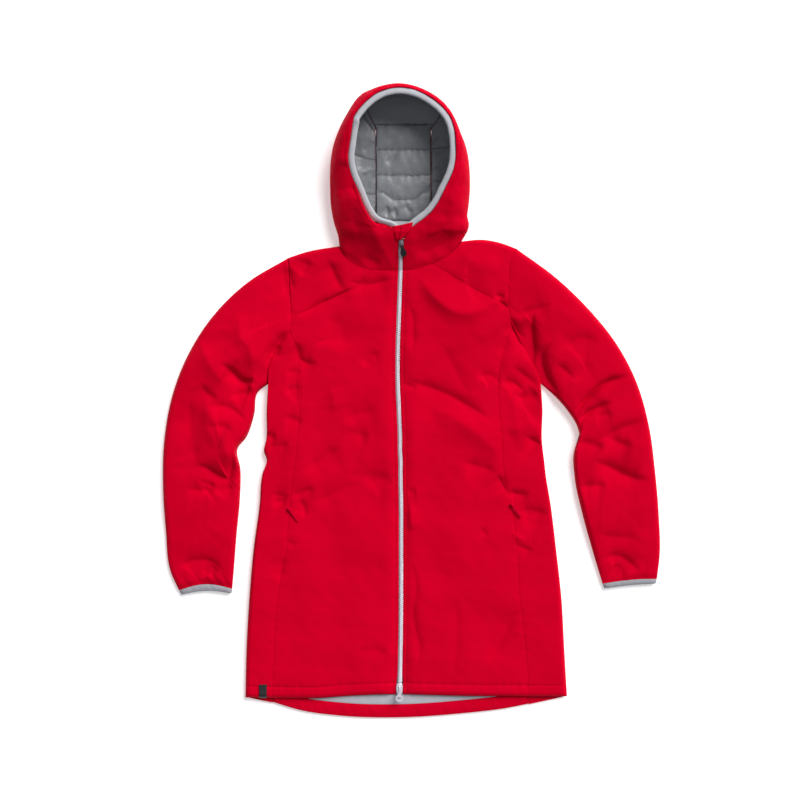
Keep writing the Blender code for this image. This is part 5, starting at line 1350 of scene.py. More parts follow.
@dataclass
class Sleeves:
    """Two sleeves and their elastic cuff bindings, as flattened tubes."""

    rows: int = 241
    top_columns: int = 81
    under_columns: int = 30
    round_off: float = 46.0
    cuff: float = 9.0
    cuff_arch: tuple[float, float] = (10.0, 3.0)
    swell: Swell = Swell(0.7, 50, 150, 23)
    crinkle: Swell = Swell(0.1, 18, 40, 29)

    def build(self) -> None:
        """Builds both sleeves."""
        for side in Side:
            self.sleeve(side)

    def sleeve(self, side: Side) -> None:
        """One sleeve: a plan between its two edges, rounded over and flat below."""
        stations = SLEEVES[side]
        up = graded(self.rows, 0.3)
        outer = Line([(s.outer_x, s.outer_y) for s in stations]).at(up)
        inner = Line([(s.inner_x, s.inner_y) for s in stations]).at(up)
        turn = np.radians(np.linspace(0, 90, 9))
        width = float(np.linalg.norm(inner[-1] - outer[-1]))
        near = EDGE_ROLL * (1 - np.cos(turn)) / width
        share = np.concatenate([near, np.linspace(near[-1], 1 - near[-1], self.top_columns - 16)[1:-1], 1 - near[::-1]])
        hole = along(Line(ARMHOLES[side]).part(0, 8, 260), share)
        ends = inner[-1] - outer[-1]
        arch = self.cuff_arch[0 if side is Side.LEFT else 1] * np.sin(np.pi * share)[:, None]
        cuff = along([outer[-1], inner[-1]], share) + arch * side.sign * np.array([ends[1], -ends[0]]) / width
        plan = drawn_back(patch(outer, inner, hole, cuff, hold=3.0))
        station = np.linspace(0, 1, len(stations))
        full = np.interp(up, station, [s.top for s in stations])[:, None]
        run = np.linalg.norm(np.diff(plan, axis=1), axis=-1)
        across = np.concatenate([np.zeros((len(plan), 1)), np.cumsum(run, axis=1)], axis=1)
        gap = np.minimum(across, across[:, -1:] - across)
        middle = np.minimum(BACK_TOP, full * 0.5)
        edge = middle * 1.15
        inward = 1 - np.clip(gap / self.round_off, 0, 1)
        puffed = full - 0.22 * (full - edge) * inward**2
        height = puffed + relief(plan, [*CREASES, self.swell, self.crinkle])
        cuff_gap = gap_to(plan, Edge.TOP)
        gathers = ripples(across + 0.15 * cuff_gap, 19.0, 2.0 * side.sign) * bell(cuff_gap - 6, 26.0)
        height += 0.6 * gathers - 2.4 * bell(cuff_gap, 7.0)
        hole_gap = gap_to(plan, Edge.BOTTOM)
        height -= 0.6 * bell(hole_gap, 2.2) + 0.7 * bell(hole_gap, 9.0)
        height += 0.5 * ripples(across, 15.0, 3.0 + side.sign) * bell(hole_gap, 9.0) * (1 - bell(hole_gap, 1.6))
        height = rolled(gap, edge, np.maximum(height, edge + 1.0), EDGE_ROLL)
        lower = edge - rolled(gap, 0, edge, UNDER_ROLL)
        # Painted shade along the armhole seam
        painted_shade = bell(hole_gap, 1.2)
        picks = np.unique(np.round(np.linspace(0, plan.shape[1] - 1, self.under_columns)).astype(int))
        picks = np.unique(np.concatenate([picks, np.arange(8), plan.shape[1] - 1 - np.arange(8)]))
        name = "sleeve_" + side.value
        grid = np.dstack([plan, height])
        self.tube("laid_" + name, name, grid, lower, picks, middle, painted_shade, RED_SHELL, Slot.SHELL)
        self.binding(side, plan, 1 + 0.04 * arch)

    def tube(self, title: str, node: str, top: Array, lower: Array, picks: Array, middle: Array,
             painted_shade: Array | float, finish: Finish, slot: Slot) -> None:
        """Tube over a grid: its top, a plainer underside, and a flat slit inside it."""
        bottom = np.concatenate([top[:, picks, :2], lower[:, picks, None]], axis=-1)[:, ::-1][:, 1:-1]
        loops = np.concatenate([top, bottom], axis=1)
        form = Form()
        shade = np.concatenate([np.broadcast_to(painted_shade, top.shape[:2]), np.zeros(bottom.shape[:2])], axis=1)
        out = form.lay(loops, shade)
        ring_skin(form, out, loops)
        inset = np.round(np.linspace(8, top.shape[1] - 9, 14)).astype(int)
        rows = np.round(np.linspace(0, len(top) - 1, max(2, len(top) // 12))).astype(int)
        plan = top[rows][:, inset, :2]
        high = np.dstack([plan, np.repeat(middle[rows] + GAP, len(inset), axis=1)])
        low = np.dstack([plan, np.repeat(middle[rows], len(inset), axis=1)])
        slit = np.concatenate([high, low[:, ::-1]], axis=1)
        into = form.lay(slit)
        ring_skin(form, into, slit)
        cloth = cloth_map(np.concatenate([loops, loops[:, :1]], axis=1))
        for row in (0, -1):
            form.zip_rows(np.append(out[row], out[row][0]), np.append(into[row], into[row][0]), cloth[row])
        piece = form.make(title, finish, slot, [node])
        whole = np.concatenate([loops, loops[:, :1]], axis=1)
        declare_sheet(whole)

    def binding(self, side: Side, plan: Array, deeper: Array) -> None:
        """Knitted elastic binding, carried on from the sleeve's last row, a little narrower."""
        last = plan[-1]
        down = last - plan[-2]
        down = down / np.linalg.norm(down, axis=1, keepdims=True)
        depth = self.cuff * np.array([0.03, 0.1, 0.22, 0.4, 0.6, 0.8, 0.93, 1.0])
        rows = last[None] + down[None] * depth[:, None, None] * deeper[None]
        centre = rows.mean(axis=1, keepdims=True)
        t = depth / self.cuff
        snug = (0.988 + 0.012 * np.sin(np.pi * t) - 0.012 * t**2)[:, None, None]
        rows = centre + (rows - centre) * snug
        run = np.linalg.norm(np.diff(rows, axis=1), axis=-1)
        across = np.concatenate([np.zeros((len(rows), 1)), np.cumsum(run, axis=1)], axis=1)
        gap = np.minimum(across, across[:, -1:] - across)
        full = (8.6 + 3.0 * np.sqrt(np.clip(np.sin(np.pi * (0.06 + 0.88 * t)), 0, 1)))[:, None]
        full = full + 0.35 * ripples(across, 12.0, side.sign) * np.sin(np.pi * t)[:, None]
        middle = np.full((len(rows), 1), 4.6)
        edge = middle * 1.1
        top = np.dstack([rows, rolled(gap, edge, full, EDGE_ROLL)])
        lower = edge - rolled(gap, 0, edge, UNDER_ROLL)
        picks = np.arange(0, plan.shape[1], 2)
        name = "cuff_binding_" + side.value
        self.tube("elastic_" + name, name, top, lower, picks, middle, 0.0, SHADED_CUFF_BINDING, Slot.BINDING)


# ------------------------------------------------------------------ hood


def quarter(start: Array, end: Array, low: float, high: float, turns: Array) -> Array:
    """Places on a quarter turn from the upright end (0) up to the level end (90 degrees)."""
    turns = np.radians(turns)[:, None]
    plan = start + (end - start) * (1 - np.cos(turns))
    return np.hstack([plan, low + (high - low) * np.sin(turns)])


@dataclass
class Hood:
    """Three-piece shell, quilted lining, binding round the face, neck band and chin guard."""

    shell_wall: float = 3.4
    lining_wall: float = 3.2
    puff: float = 4.2
    quilt_lines: tuple[float, ...] = (866.0, 906.0, 949.5, 997.0, 1043.0)
    neck_y: float = 835.0
    crown_y: float = 1035.0
    crown_foot: float = 20.0
    topstitch: float = 7.5
    binding_width: float = 11.0
    binding_thick: float = 8.0
    upper: int = 34
    under: int = 14
    floor: int = 16
    swell: Swell = Swell(0.7, 40, 110, 41)
    crinkle: Swell = Swell(0.25, 14, 34, 43)

    def build(self) -> None:
        """Builds the hood."""
        band, normals, splits = self.band()
        self.panels(band, normals, splits)
        self.binding(band, normals, splits)
        self.neck_band()
        self.chin_guard()

    def column(self, column: HoodColumn, neck: Sequence | None = None) -> Array:
        """Points of one column, from the rim over the widest point to the seam."""
        out = np.array([column.out_x, column.out_y])
        rim = np.array([column.rim_x, column.rim_y])
        seam = np.array([column.seam_x, column.seam_y])
        ground = out + (seam - out) / np.linalg.norm(seam - out) * column.lift
        if neck is None:
            reach = np.linalg.norm(rim - out)
            roll = out + (rim - out) * min(0.98, 1.15 * (column.rim_z - column.out_z) / reach)
            rise = quarter(out, roll, column.out_z, column.rim_z, np.linspace(90, 0, 31))
            top = np.vstack([[*rim, column.rim_z], rise])
        else:
            line = Line(neck).at(np.linspace(1, 0, 60))[:54]
            level = np.column_stack([line, np.full(len(line), column.rim_z)])
            rise = quarter(out, level[-1, :2], column.out_z, column.rim_z, np.linspace(80, 0, 12))
            top = np.vstack([level, rise])
        low = quarter(out, ground, column.out_z, 0.0, np.linspace(0, 90, 24))
        flat = np.array([(*ground, 0.0), (*seam, 0.0)])
        return np.vstack([
            along(top, np.linspace(0, 1, self.upper)),
            along(low, np.linspace(0, 1, self.under + 1))[1:],
            along(flat, np.linspace(0, 1, self.floor + 1))[1:],
        ])

    def band(self) -> tuple[Array, Array, dict[str, slice]]:
        """Outer points and normals all round, and where each panel lies in them."""
        columns = [self.column(HOOD_LEFT[0], NECKS[Side.LEFT])]
        columns += [self.column(c) for c in HOOD_LEFT[1:] + HOOD_CROWN + HOOD_RIGHT[:-1]]
        columns.append(self.column(HOOD_RIGHT[-1], NECKS[Side.RIGHT]))
        table = np.array(columns)
        line = Line(table.reshape(len(table), -1))
        left, right = len(HOOD_LEFT) - 1, len(HOOD_LEFT) + len(HOOD_CROWN)
        counts = (111, 61, 111)
        parts = [line.part(0, left, counts[0]), line.part(left, right, counts[1])[1:], line.part(right, len(table) - 1, counts[2])[1:]]
        band = np.vstack(parts).reshape(-1, *table.shape[1:])
        band[..., 2] = np.maximum(band[..., 2], 0.0)
        normals = grid_normals(band)
        if normals[len(band) // 2, -1, 2] > 0:
            normals = -normals
        first, second = counts[0] - 1, counts[0] + counts[1] - 2
        return band, normals, {"left": slice(0, first + 1), "crown": slice(first, second + 1), "right": slice(second, len(band))}

    def creased(self, band: Array, normals: Array) -> Array:
        """The outer points with folds and swells, where the cloth faces up or out."""
        lift = relief(band[..., :2], [*HOOD_CREASES, self.swell, self.crinkle])
        facing = smooth_step(normals[..., 2], 0.05, 0.6)
        return band + normals * (lift * facing)[..., None]

    def panels(self, band: Array, normals: Array, splits: dict[str, slice]) -> None:
        """Shell and lining of the left, centre and right panels."""
        shaped = self.creased(band, normals)
        for side in Side:
            cut = splits[side.value]
            self.panel(side.value, shaped[cut], band[cut], normals[cut])
        cut = splits["crown"]
        crown = band[cut].transpose(1, 0, 2)[::-1]
        crown_shaped = shaped[cut].transpose(1, 0, 2)[::-1]
        crown_normals = normals[cut].transpose(1, 0, 2)[::-1]
        ys = np.linspace(self.neck_y, self.crown_y, 76)[:-1]
        strip = np.zeros((len(ys), crown.shape[1], 3))
        share = (ys[:, None] - self.neck_y) / (self.crown_y - self.neck_y)
        strip[..., 0], strip[..., 1] = crown[0, :, 0], self.neck_y + share * (crown[0, :, 1] - self.neck_y)
        down = np.broadcast_to([0.0, 0.0, -1.0], strip.shape)
        self.panel("centre", np.concatenate([strip, crown_shaped]), np.concatenate([strip, crown]), np.concatenate([down, crown_normals]))

    def panel(self, side: str, shaped: Array, plain: Array, normals: Array) -> None:
        """One panel's shell wall, and inside it the quilted lining."""
        # Painted shade along the panel's seams
        painted_shade = np.zeros(shaped.shape[:2])
        dip = np.zeros(shaped.shape[:2])
        edges = (Edge.FIRST, Edge.LAST) if side == "centre" else (Edge.BOTTOM, Edge.TOP)
        for edge in edges:
            gap = np.linalg.norm(plain - edge_of(plain, edge), axis=-1)
            painted_shade = np.maximum(painted_shade, bell(gap, 1.2))
            dip += SEAM_DEPTH * bell(gap, 2.0) + SHOULDER_DEPTH * bell(gap, 8.0)
        rim = edge_of(plain, Edge.TOP if side == "centre" else Edge.FIRST)
        rim_gap = np.linalg.norm(plain - rim, axis=-1)
        collar = 1 - smooth_step(rim[..., 1], 826.0, 846.0)
        dip += collar * placket(rim_gap, 800.0)
        dip += (1 - collar) * (1.1 * bell(rim_gap - self.topstitch, 1.8) + 0.8 * bell(rim_gap, 2.2))
        dip = np.minimum(dip, self.shell_wall - 0.6)
        facing = smooth_step(normals[..., 2], -0.2, 0.2)
        shell = drawn_back(shaped, 0.03) - normals * (dip * facing)[..., None]
        if side != "centre":
            shift = self.settled(shell, plain, normals, 0 if side == "left" else -1)
            shell = shell + shift
            plain = plain + shift * [0.0, 0.0, 1.0]
        self.wall("hood_shell_" + side, "hood_" + side, shell, plain - self.shell_wall * normals, painted_shade, RED_SHELL, Slot.SHELL, shell)
        outside = drawn_back(plain, 1.8 * GAP) - (self.shell_wall + GAP) * normals
        lining = outside - self.lining_wall * normals
        # The quilting also gives painted shade along its sewn lines and the panel's edges
        height, lines = self.quilting(side, lining)
        raised = lining - height[..., None] * normals
        self.wall("quilted_lining_" + side, "hood_lining_" + side, raised, outside, lines, SHADED_LINING, Slot.LINING, raised)

    def settled(self, shell: Array, plain: Array, normals: Array, row: int) -> Array:
        """Shift near the neck seam that lays the hood's edge level with the body's."""
        neck = plain[row]
        zip_gap = np.abs(neck[:, 0]) - 4.0
        rest = cloth_top(neck[:, :2]) - SEAM_DEPTH - SHOULDER_DEPTH - placket(zip_gap, neck[:, 1])
        shift = np.column_stack([neck[:, :2], rest]) - shell[row]
        shift *= smooth_step(normals[row][:, 2:], 0.3, 0.8)
        return shift[None] * bell(np.linalg.norm(plain - neck[None], axis=-1), 16.0)[..., None]

    def quilting(self, side: str, points: Array) -> tuple[Array, Array]:
        """Height of the quilting over each point, and the shade painted along the sewn lines and the panel's edges.

        Between two sewn lines the wadding rises as a flattened sine, and small puckers
        run square to the lines.
        """
        rows, columns = points.shape[:2]
        y, z = points[..., 1], points[..., 2]
        if side == "centre":
            across = np.linspace(0, 1, columns)[None, :]
            lines = np.array(self.quilt_lines)
            y = y - 15.0 * smooth_step(np.abs(points[..., 0] - 5.0), 16.0, 42.0) * bell(y - 912.0, 24.0)
            phase = np.interp(y, lines, np.arange(len(lines)))
            on_floor = z < self.crown_foot
            climb = np.cumsum(np.concatenate([np.zeros((1, columns)), np.linalg.norm(np.diff(points, axis=0), axis=-1)]), axis=0)
            top = climb[-1:]
            start = np.take_along_axis(climb, (~on_floor).argmax(axis=0)[None], 0)
            crown_phase = 2.0 * (climb - start) / (top - start)
            phase = np.where(on_floor, phase, crown_phase)
            run = points[..., 0]
            line_gap = np.where(on_floor, np.abs(y[..., None] - lines).min(axis=-1), np.abs(crown_phase - 1.0) * 45)
            ease = np.sin(np.pi * np.clip(across, 0, 1)) ** 0.35
        else:
            around = np.linspace(0, 1, rows)[:, None]
            phase = around * 4.0 + 0.25 * np.linspace(0, 1, columns)[None, :]
            run = np.linspace(0, 150, columns)[None, :] + 0 * around
            line_gap = np.abs(phase - np.round(phase)) * 60
            ease = np.sin(np.pi * np.linspace(0, 1, columns)) ** 0.35
            ease = ease * smooth_step(np.abs(y - 822.0), 4.0, 30.0)
        puff = np.abs(np.sin(np.pi * phase)) ** 0.55
        pucker = 0.5 * ripples(run, 12.0, 1.3) * bell(line_gap, 9.0) * (1 - bell(line_gap, 2.0))
        wrinkle = Swell(0.35, 12, 40, 57).over(points[..., :2])
        # Painted shade along the sewn lines and at the panel's edges
        edge = bell(np.minimum(np.arange(columns), columns - 1 - np.arange(columns)) * 2.0, 2.5)
        painted_shade = np.maximum(bell(line_gap, 1.6), np.broadcast_to(edge, line_gap.shape))
        lift = (self.puff * puff + pucker + wrinkle * puff) * ease + relief(points[..., :2], LINING_CREASES) * (z < 60)
        return np.maximum(lift, 0.0), painted_shade

    def wall(self, title: str, node: str, face: Array, back: Array, painted_shade: Array, finish: Finish, slot: Slot, cut: Array) -> None:
        """Closed wall between a fine face and a plainer back, every third point of it."""
        stride = 3
        keep = [np.unique(np.append(np.arange(0, n, stride), n - 1)) for n in face.shape[:2]]
        plain = back[np.ix_(*keep)]
        form = Form()
        cloth = cloth_map(face)
        out, into = form.lay(face, painted_shade), form.lay(plain)
        form.skin(out, cloth)
        form.skin(into, cloth_map(plain))
        for pick in (np.s_[0], np.s_[-1], np.s_[:, 0], np.s_[:, -1]):
            form.zip_rows(out[pick], into[pick], cloth[pick])
        piece = form.make(title, finish, slot, [node])
        declare_sheet(cut)

    def rim(self, band: Array, normals: Array) -> tuple[Array, Array, Array]:
        """Centre line of the binding, the way outwards past the rim and the wall's normal."""
        gap = np.linalg.norm(band[:, 0] - [-8, 839, 45], axis=1)
        first = int(gap.argmin())
        last = int(np.linalg.norm(band[:, 0] - [10, 839, 45], axis=1).argmin())
        rim = band[first : last + 1, 0]
        normal = normals[first : last + 1, 0]
        run = np.gradient(rim, axis=0)
        past = np.cross(run, normal)
        past *= np.sign((past * ([-2.0, 960.0, 60.0] - rim)).sum(axis=1, keepdims=True))
        past /= np.linalg.norm(past, axis=1, keepdims=True)
        rim, past, normal = eased(rim, 10), eased(past, 40), eased(normal, 40)
        past /= np.linalg.norm(past, axis=1, keepdims=True)
        normal /= np.linalg.norm(normal, axis=1, keepdims=True)
        centre = rim + past * (0.15 + self.binding_width / 2)
        centre = centre - normal * (self.shell_wall + GAP / 2 + self.lining_wall / 2)
        return centre, past, normal

    def binding(self, band: Array, normals: Array, splits: dict[str, slice]) -> None:
        """Binding round the face opening: a rounded band carried along the rim."""
        centre, past, normal = self.rim(band, normals)
        shares = np.linspace(0, 1, 281)
        past, normal = along_like(past, centre, shares), along_like(normal, centre, shares)
        centre = along(centre, shares)
        angle = np.linspace(0, 2 * np.pi, 23)[:-1]
        across = np.sign(np.cos(angle)) * np.abs(np.cos(angle)) ** 0.75 * self.binding_width / 2
        up = np.sign(np.sin(angle)) * np.abs(np.sin(angle)) ** 0.75 * self.binding_thick / 2
        run = steps(centre)[:, None]
        fuller = 1 + 0.035 * ripples(run, 21.0, 2.0)
        loops = (
            centre[:, None]
            + past[:, None] * (across * fuller)[..., None]
            + normal[:, None] * (up * fuller)[..., None]
        )
        form = Form()
        ids = form.lay(loops)
        ring_skin(form, ids, loops)
        form.cap(ids[0])
        form.cap(ids[-1])
        piece = form.make("face_binding", GREY_BINDING, Slot.BINDING, ["hood_binding"])
        declare_sheet(loops[:, :12])
        sewing = Form()
        edge = centre - past * (self.binding_width / 2 - 2.0) + normal * (self.binding_thick / 2 * 0.93)
        sew(sewing, edge, normal, pitch=3.2, length=2.3, thick=0.5)
        sewing.make("binding_stitching", GREY_THREAD, Slot.BINDING)

    def neck_band(self) -> None:
        """Pale band sewn over the neck seam inside the collar."""
        t, s = graded(15, 0.5)[:, None], graded(61, 0.5)[None, :]
        low = self.shell_wall + GAP + self.lining_wall + GAP
        x = -41 + 74 * s + 0 * t
        y = 846 + 18.5 * t + 1.2 * np.sin(np.pi * s)
        ease = np.sqrt(np.clip(np.sin(np.pi * np.clip(t, 0.03, 0.97)), 0, 1)) * np.sqrt(np.clip(np.sin(np.pi * np.clip(s, 0.01, 0.99)), 0, 1)) ** 0.4
        z = low + 0.3 + 1.4 * ease + 0.2 * ripples(74 * s, 12.0, 4.0) * ease
        grid = np.dstack([x, y, z])
        form = Form()
        slab(form, grid, np.full(z.shape, low), 0.0, 2)
        piece = form.make("neck_tape", GREY_BINDING, Slot.BINDING, ["neck_band"])
        declare_sheet(grid)

    def chin_guard(self) -> None:
        """Red flap folded over the top of the zip: a narrow half and a wide folded half."""
        t = graded(29, 0.5)[:, None]
        left = along([(-8.0, 829.0), (-14.6, 852.8)], t[:, 0])
        middle = along([(-3.4, 828.0), (0.2, 854.6)], t[:, 0])
        right = along([(-1.0, 827.5), (8.5, 834.0), (19.5, 847.0), (23.0, 860.0)], t[:, 0])
        half = np.linspace(0, 1, 12)[None, :, None]
        first = left[:, None] * (1 - half) + middle[:, None] * half
        second = middle[:, None] * (1 - half) + right[:, None] * half
        plan = np.concatenate([first, second[:, 1:]], axis=1)
        crest = float(collar_line(842.0))
        base = np.minimum(collar_line(plan[..., 1]), crest) + 2.0
        gap = np.minimum.reduce([gap_to(plan, edge) for edge in Edge])
        ridge = np.linalg.norm(plan - middle[:, None], axis=-1)
        rise = 1.8 + 1.2 * smooth_step(plan[..., 0] - middle[:, None, 0], -1.0, 2.5)
        height = base + rolled(gap, 0.4, rise, 1.8) - 0.8 * bell(ridge, 0.9)
        grid = np.dstack([plan, height])
        form = Form()
        # Painted shade along the guard's fold
        slab(form, grid, base, bell(ridge, 0.8), 2)
        piece = form.make("folded_chin_guard", RED_SHELL, Slot.SHELL, ["chin_guard"])
        declare_sheet(grid)


def eased(line: Array, times: int) -> Array:
    """A line smoothed by a 1-2-1 mean with its neighbours, a number of times, its ends kept."""
    line = line.copy()
    for _ in range(times):
        line[1:-1] = (line[:-2] + 2 * line[1:-1] + line[2:]) / 4
    return line


def along_like(line: Array, base: Array, shares: Array) -> Array:
    """Values carried along another line's running length, at shares of it."""
    run = steps(base)
    return np.column_stack([np.interp(shares * run[-1], run, axis) for axis in line.T])


# ------------------------------------------------------------------ zips


def surface_turn(pitch: float, heading: float) -> Array:
    """Rotation of a hard piece on a slope: pitch about x, then heading about z, in degrees."""
    turn = Matrix.Rotation(math.radians(heading), 3, "Z") @ Matrix.Rotation(math.radians(pitch), 3, "X")
    return np.array(turn)


def round_outline(corners: Sequence, count: int, soft: float = 0.5) -> Array:
    """Closed outline through corners: a blend of the polygon and a smooth curve."""
    ring = np.vstack([corners, corners[:1]])
    wrap = np.vstack([ring[-3:-1], ring, ring[1:3]])
    line = Line(wrap)
    low, high = line.run[2] / line.run[-1], line.run[-3] / line.run[-1]
    shares = np.linspace(0, 1, count + 1)[:-1]
    smooth = line.at(low + (high - low) * shares)
    return smooth * soft + along(ring, shares) * (1 - soft)


@dataclass
class HardPiece:
    """Lofted hard piece in its own directions, placed by an origin and a turn."""

    form: Form
    origin: Array
    turn: Array

    def place(self, points: Array) -> Array:
        """Moves points from the piece's own directions to the pattern frame."""
        return points @ self.turn.T + self.origin

    def loft(self, levels: Sequence[tuple[Array, float]]) -> None:
        """Closed loft: each level is an outline at its own height."""
        loops = np.stack([np.column_stack([outline, np.full(len(outline), z)]) for outline, z in levels])
        ids = self.form.lay(self.place(loops))
        ring_skin(self.form, ids, loops)
        self.form.cap(ids[0])
        self.form.cap(ids[-1])

    def tube(self, path: Array, radius: tuple[float, float], count: int = 12, closed: bool = False) -> None:
        """Rounded bar along a path that lies in one plane of constant x, or a flat ring."""
        run = np.gradient(path, axis=0)
        if closed:
            run = np.roll(path, -1, axis=0) - np.roll(path, 1, axis=0)
        run /= np.linalg.norm(run, axis=1, keepdims=True)
        side = np.array([1.0, 0.0, 0.0]) if not closed else np.array([0.0, 0.0, 1.0])
        over = np.cross(run, side)
        over /= np.linalg.norm(over, axis=1, keepdims=True)
        angle = np.linspace(0, 2 * np.pi, count + 1)[:-1]
        loops = (
            path[:, None]
            + over[:, None] * (np.cos(angle) * radius[0])[None, :, None]
            + side * (np.sin(angle) * radius[1])[None, :, None]
        )
        ids = self.form.lay(self.place(loops))
        if closed:
            ids = np.concatenate([ids, ids[:1]])
            loops = np.concatenate([loops, loops[:1]])
            ring_skin(self.form, ids, loops)
        else:
            ring_skin(self.form, ids, loops)
            self.form.cap(ids[0])
            self.form.cap(ids[-1])


def slider_outline(width: float, length: float, waist: float) -> Array:
    """Slider seen from above: wide shoulders and a narrower foot."""
    w, n, h = width / 2, width / 2 * waist, length / 2
    corners = [(-n, -h), (n, -h), (w, -h * 0.3), (w, h * 0.55), (n * 0.9, h), (-n * 0.9, h), (-w, h * 0.55), (-w, -h * 0.3)]
    return round_outline(corners, 48, 0.55)


def teardrop(length: float, neck: float, belly: float) -> Array:
    """Pull outline from its hinge at zero down to its round end."""
    shares = np.array([0.0, 0.12, 0.3, 0.5, 0.68, 0.84, 0.95])
    halves = np.array([neck, neck * 1.05, neck + 0.3 * (belly - neck), neck + 0.8 * (belly - neck), belly, belly * 0.82, belly * 0.42]) / 2
    right = np.column_stack([halves, -shares * length])
    corners = np.vstack([right, [(0.0, -length)], (right * [-1, 1])[::-1]])
    return round_outline(corners, 56, 0.8)


@dataclass
class FrontZip:
    """Chain of teeth on two tapes, with a top and a bottom slider and their pulls."""

    pitch: float = 3.5
    chain_start: float = 22.0
    chain_end: float = 818.5
    zip_top: float = 840.0
    chain_top: float = 14.0
    top_slider: tuple[float, float] = (1.2, 822.0)
    top_hinge: tuple[float, float, float] = (0.6, -6.2, 3.6)
    pull_heading: float = 13.0
    bottom_slider: tuple[float, float, float] = (-1.9, 11.0, 15.5)
    bottom_hinge: tuple[float, float, float] = (0.0, -5.0, 4.0)

    def build(self) -> None:
        """Builds the zip."""
        self.teeth()
        for side in Side:
            self.tape(side)
        self.sliders()

    def path(self, count: int) -> Array:
        """Centre line of the chain's top."""
        line = Line(np.vstack([body_line("zip_line").points, [(0, 800), (0, self.zip_top)]]))
        plan = line.at(np.linspace(self.chain_start / self.zip_top, self.chain_end / self.zip_top, count))
        top = self.chain_top + smooth_step(plan[:, 1], 730, COLLAR_START) * (COLLAR_FOOT - 3.0 - self.chain_top)
        return np.column_stack([plan, np.where(plan[:, 1] < COLLAR_START, top, collar_line(plan[:, 1]) - 3.0)])

    def teeth(self) -> None:
        """Teeth in two rows, half a pitch apart, that reach over the middle in turn.

        Each tooth is a bevelled block: a foot on the tape, a waist and a rounded head.
        """
        path = self.path(1200)
        length = steps(path)[-1]
        form = Form()
        for sign in (-1, 1):
            count = int(length / self.pitch) - 1
            shares = (np.arange(count) + 0.5 + 0.25 * sign) * self.pitch / length
            centre = along(path, shares)
            run = along(path, shares + 1e-3) - along(path, shares - 1e-3)
            run /= np.linalg.norm(run, axis=1, keepdims=True)
            over = np.cross(run, [0.0, 0.0, 1.0]) * sign
            up = np.cross(over, run) * sign
            up *= np.sign(up[:, 2:])
            profile = np.array([(-0.9, 0.62), (0.2, 0.98), (1.5, 0.88), (2.7, 0.76), (3.65, 0.66)])
            rings = []
            for out, half in profile:
                lift = 0.35 if out > 3 else 0.0
                ring = [(-half, -1.4), (-half, -0.35 - lift), (-half * 0.5, 0.0 - lift), (half * 0.5, 0.0 - lift), (half, -0.35 - lift), (half, -1.4)]
                rings.append([
                    centre + over * out + run * a * 1.15 + up * (b + 1.0) for a, b in ring
                ])
            points = np.transpose(np.array(rings), (2, 0, 1, 3))
            first = form.total
            form.lay(points)
            ids = np.arange(30).reshape(5, 6)
            wrap = np.concatenate([ids, ids[:, :1]], axis=1)
            quads = np.stack([wrap[:-1, :-1], wrap[1:, :-1], wrap[1:, 1:], wrap[:-1, 1:]], axis=2).reshape(-1, 4)
            caps = np.array([(0, 1, 4, 5), (1, 2, 3, 4), (24, 29, 28, 25), (25, 28, 27, 26)])
            base = np.vstack([quads, caps])
            faces = (base[None] + first + 30 * np.arange(count)[:, None, None]).reshape(-1, 4)
            form.faces.append(faces)
            form.places.append(points.reshape(-1, 3)[faces - first][..., :2] * MM)
        form.make("zip_teeth", SATIN_ZINC, Slot.ZIP_METAL, ["zip_chain"], sharp=40.0)

    def tape(self, side: Side) -> None:
        """Half of the tape: a thin strip with a corded edge next to the teeth."""
        path = self.path(400)
        offset = np.array([0.15, 0.5, 1.2, 2.0, 2.8, 3.5, 4.2])
        rise = np.array([0.0, 0.35, 0.5, 0.35, 0.0, 0.05, 0.3])
        run = np.gradient(path, axis=0)
        run /= np.linalg.norm(run, axis=1, keepdims=True)
        over = np.cross(run, [0.0, 0.0, 1.0]) * side.sign
        over[:, 2] = 0
        top = path[:, None] + over[:, None] * offset[None, :, None]
        top[..., 2] += rise[None, :] - 2.6
        under = top[..., 2] - 1.2
        form = Form()
        slab(form, top, under, 0.0, 1)
        name = "zip_tape_" + side.value
        piece = form.make("woven_" + name, ZIP_TAPE, Slot.BINDING, [name])
        declare_sheet(top)

    def slider(self, form: Form, origin: Array, turn: Array, width: float, length: float, depth: float, waist: float) -> None:
        """Slider: top and bottom plates joined by a neck, and a bridge over the top plate."""
        piece = HardPiece(form, origin, turn)
        body = slider_outline(width, length, waist)
        neck = slider_outline(width * 0.5, length * 0.85, 0.9)
        piece.loft([(body * 0.9, -depth), (body * 0.98, -depth + 0.35), (body, -depth + 0.9), (body * 0.97, -depth + 1.3),
                    (neck, -depth + 1.35), (neck, -1.0), (body * 0.97, -0.95), (body, -0.5), (body, 0.1), (body * 0.96, 0.55), (body * 0.88, 0.8), (body * 0.6, 0.86)])
        reach, high = length * 0.31, 2.8
        t = np.linspace(0, np.pi, 21)
        path = np.column_stack([np.zeros(21), -reach * np.cos(t), 0.6 + (high - 0.9) * np.sin(t) ** 0.5])
        piece.tube(path, (0.55, width * 0.16))

